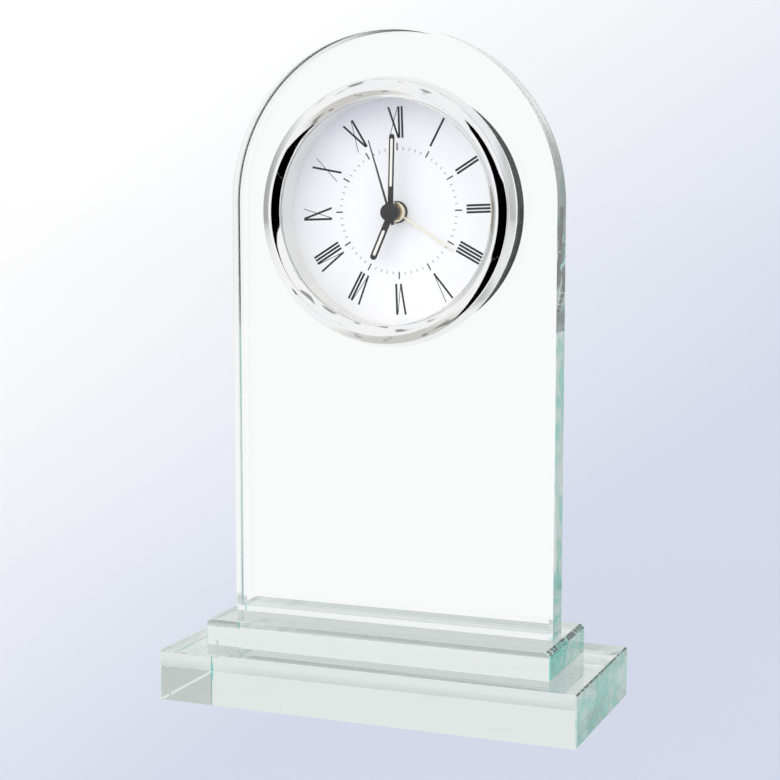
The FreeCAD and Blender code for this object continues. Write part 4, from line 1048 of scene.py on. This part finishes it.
def floor_tone(tree, place, reach, rays):
    """What glass and metal see of the floor: white, with a painted shadow under the stand's footprint, and
    darker zones about the clock and far off.
    """
    x, y, _ = split(tree, place)
    across = ranged(tree, calc(tree, "ABSOLUTE", x), *SHADOW_ACROSS)
    along = ranged(tree, calc(tree, "ABSOLUTE", y), *SHADOW_ALONG)
    behind = product(tree, ranged(tree, y, *BEHIND_FROM), ranged(tree, reach, *BEHIND_TO))
    rightward = product(tree, behind, ranged(tree, x, *RIGHT_FROM))
    tone = blend_colours(tree, rightward, WHITE, BACK_RIGHT)
    # Painted shadow of the stand on the floor under its footprint, seen through the glass and in the metal
    tone = blend_colours(tree, product(tree, across, along), tone, SHADOW_UNDER_GLASS)
    outward = vector_calc(tree, "NORMALIZE", place)
    distant = shade_towards(tree, outward, *LEFT_SHADE, tone)
    distant = shade_towards(tree, outward, *RIGHT_SHADE, distant)
    tone = blend_colours(tree, ranged(tree, reach, *DISTANT_FROM), tone, distant)
    near = product(tree, ranged(tree, reach, *NEAR_TO), inverted(tree, rays["Is Transmission Ray"]))
    front = ranged(tree, y, *FRONT_FROM)
    tone = blend_colours(tree, product(tree, near, front), tone, NEAR_FLOOR)
    blots = ranged(tree, noise(tree, place, FLOOR_BLOT_SCALE, 1.0), *FLOOR_BLOT_LEVELS)
    blot = product(tree, near, product(tree, front, blots))
    return blend_colours(tree, blot, tone, FLOOR_BLOT_TONE)


def make_floor():
    """The paper under the clock: the sweep's colours to the camera, white to glass and metal."""
    bm = bmesh.new()
    bmesh.ops.create_circle(bm, cap_ends=True, segments=96, radius=30.0)
    floor = place_mesh("floor", bm)
    material, tree, output = bare_material("pale_floor")
    rays = add_node(tree, "ShaderNodeLightPath").outputs
    place = own_place(tree)
    reach = vector_calc(tree, "LENGTH", place)
    seen_from = vector_calc(tree, "SUBTRACT", place, CAMERA_PLACE)
    sweep = add_effect(tree, sweep_group, Direction=seen_from)
    even = ranged(tree, reach, *PAPER_LEVELS)
    paper = blend_colours(tree, even, (0.0, 0.0, 0.0, 1.0), sweep[0])
    matt = add_node(tree, "ShaderNodeBsdfDiffuse", {"Color": paper})
    lit = add_node(tree, "ShaderNodeEmission", {"Color": floor_tone(tree, place, reach, rays)})
    mix = {0: polished_rays(tree, rays), 1: matt.outputs[0], 2: lit.outputs[0]}
    both = add_node(tree, "ShaderNodeMixShader", mix)
    tree.links.new(both.outputs[0], output.inputs["Surface"])
    floor.data.materials.append(material)


def make_world():
    """A white studio for glass and metal, a soft fill for the rest, the paper sweep for the camera."""
    world = bpy.data.worlds.new("studio")
    scene.world = world
    world.use_nodes = True
    tree = world.node_tree
    tree.nodes.clear()
    output = add_node(tree, "ShaderNodeOutputWorld")
    rays = add_node(tree, "ShaderNodeLightPath").outputs
    direction = add_node(tree, "ShaderNodeTexCoord").outputs["Generated"]
    sweep = add_effect(tree, sweep_group, Direction=direction)
    room = WHITE
    for shade in (LEFT_SHADE, RIGHT_SHADE, HIGH_SHADE):
        room = shade_towards(tree, direction, *shade, room)
    _, _, height = split(tree, direction)
    blots = ranged(tree, noise(tree, direction, ROOM_BLOT_SCALE, 1.0), *ROOM_BLOT_LEVELS)
    blot = product(tree, ranged(tree, height, *ROOM_BLOT_HEIGHT), blots)
    blot = product(tree, blot, inverted(tree, rays["Is Transmission Ray"]))
    room = blend_colours(tree, blot, room, ROOM_BLOT_TONE)
    fill_light = blend_colours(tree, polished_rays(tree, rays), STUDIO_FILL, room)
    seen = blend_colours(tree, rays["Is Camera Ray"], fill_light, sweep[0])
    light = add_node(tree, "ShaderNodeBackground", {"Color": seen})
    tree.links.new(light.outputs[0], output.inputs["Surface"])


def around(azimuth, reach, height):
    """A point by its bearing from the front of the clock, its distance and its height."""
    turn = math.radians(azimuth)
    return Vector((math.sin(turn) * reach, -math.cos(turn) * reach, height))


def make_card(name, ribbons, grey):
    """A studio card of flat ribbons, that only polished metal sees."""
    bm = bmesh.new()
    for ribbon in ribbons:
        rows = [[bm.verts.new(point) for point in row] for row in ribbon]
        for here, there in zip(rows, rows[1:]):
            bm.faces.new((here[0], there[0], there[1], here[1]))
    piece = place_mesh(name, bm)
    material, tree, output = bare_material(name)
    plain = add_node(tree, "ShaderNodeEmission", {"Color": (grey, grey, grey, 1.0)})
    tree.links.new(plain.outputs[0], output.inputs["Surface"])
    piece.data.materials.append(material)
    piece.visible_camera = False
    piece.visible_diffuse = False
    piece.visible_transmission = False
    piece.visible_shadow = False


CARD_LIFT = 0.001
FLAG_REACH = 0.42

# By bearing: the near and far reach of the strip on the floor, the foot and top of the wall
FLAG_SHAPE = (
    (25.0, 0.105, 0.106, 0.56, 0.56),
    (28.0, 0.100, 0.101, 0.36, 0.55),
    (32.5, 0.100, 0.101, 0.18, 0.51),
    (35.0, 0.100, 0.165, 0.06, 0.48),
    (36.5, 0.100, 0.419, 0.0, 0.46),
    (40.0, 0.120, 0.419, 0.0, 0.41),
    (46.0, 0.150, 0.419, 0.0, 0.305),
    (52.0, 0.190, 0.419, 0.0, 0.262),
    (58.0, 0.240, 0.419, 0.0, 0.24),
    (64.0, 0.320, 0.419, 0.0, 0.215),
    (69.0, 0.419, 0.4195, 0.09, 0.21),
)


def make_flag():
    """The dark card right of the camera: a strip on the floor near the clock, then a rising wall."""
    ground = []
    wall = []
    for azimuth, near, far, foot, top in FLAG_SHAPE:
        ground.append([around(azimuth, reach, CARD_LIFT) for reach in (near, far)])
        wall.append([around(azimuth, FLAG_REACH, max(height, CARD_LIFT)) for height in (foot, top)])
    make_card("dark_flag", (ground, wall), 0.0)


EDGE_SPANS = ((-75.0, -38.0), (-3.0, 15.0))
EDGE_REACHES = (0.31, 0.345)
EDGE_STEPS = 11
EDGE_GREY = 0.12


def make_edge_strip():
    """The dark edge of the studio table, in front of the clock on both sides of the camera."""
    ribbons = []
    for start, stop in EDGE_SPANS:
        bearings = [start + (stop - start) * step / EDGE_STEPS for step in range(EDGE_STEPS + 1)]
        ribbons.append(
            [[around(bearing, reach, CARD_LIFT) for reach in EDGE_REACHES] for bearing in bearings]
        )
    make_card("table_edge", ribbons, EDGE_GREY)


def make_sun(name, azimuth, elevation, strength, spread):
    """A large soft lamp that lights matt surfaces evenly."""
    data = bpy.data.lights.new(name, "SUN")
    data.energy = strength
    data.angle = math.radians(spread)
    lamp = bpy.data.objects.new(name, data)
    scene.collection.objects.link(lamp)
    tilt = math.radians(elevation)
    towards = around(azimuth, math.cos(tilt), math.sin(tilt))
    lamp.rotation_euler = towards.to_track_quat("Z", "Y").to_euler()
    lamp.visible_glossy = False
    lamp.visible_transmission = False


make_camera()
make_floor()
make_world()
make_sun("key", azimuth=-30.0, elevation=12.0, strength=0.93, spread=60.0)
make_sun("fill", azimuth=35.0, elevation=12.0, strength=0.68, spread=80.0)
make_flag()
make_edge_strip()

# Glass lets the lamps and the soft fill reach what stands behind it
for name in ("glass_stand", "cover_glass", "clear_bumpers"):
    scene.objects[name].visible_shadow = False
    scene.objects[name].visible_diffuse = False

MOST_BOUNCES = 32
MOST_SEE_THROUGH = 16

scene.view_settings.view_transform = "Standard"
scene.cycles.max_bounces = MOST_BOUNCES
scene.cycles.glossy_bounces = MOST_BOUNCES
scene.cycles.transmission_bounces = MOST_BOUNCES
scene.cycles.transparent_max_bounces = MOST_SEE_THROUGH
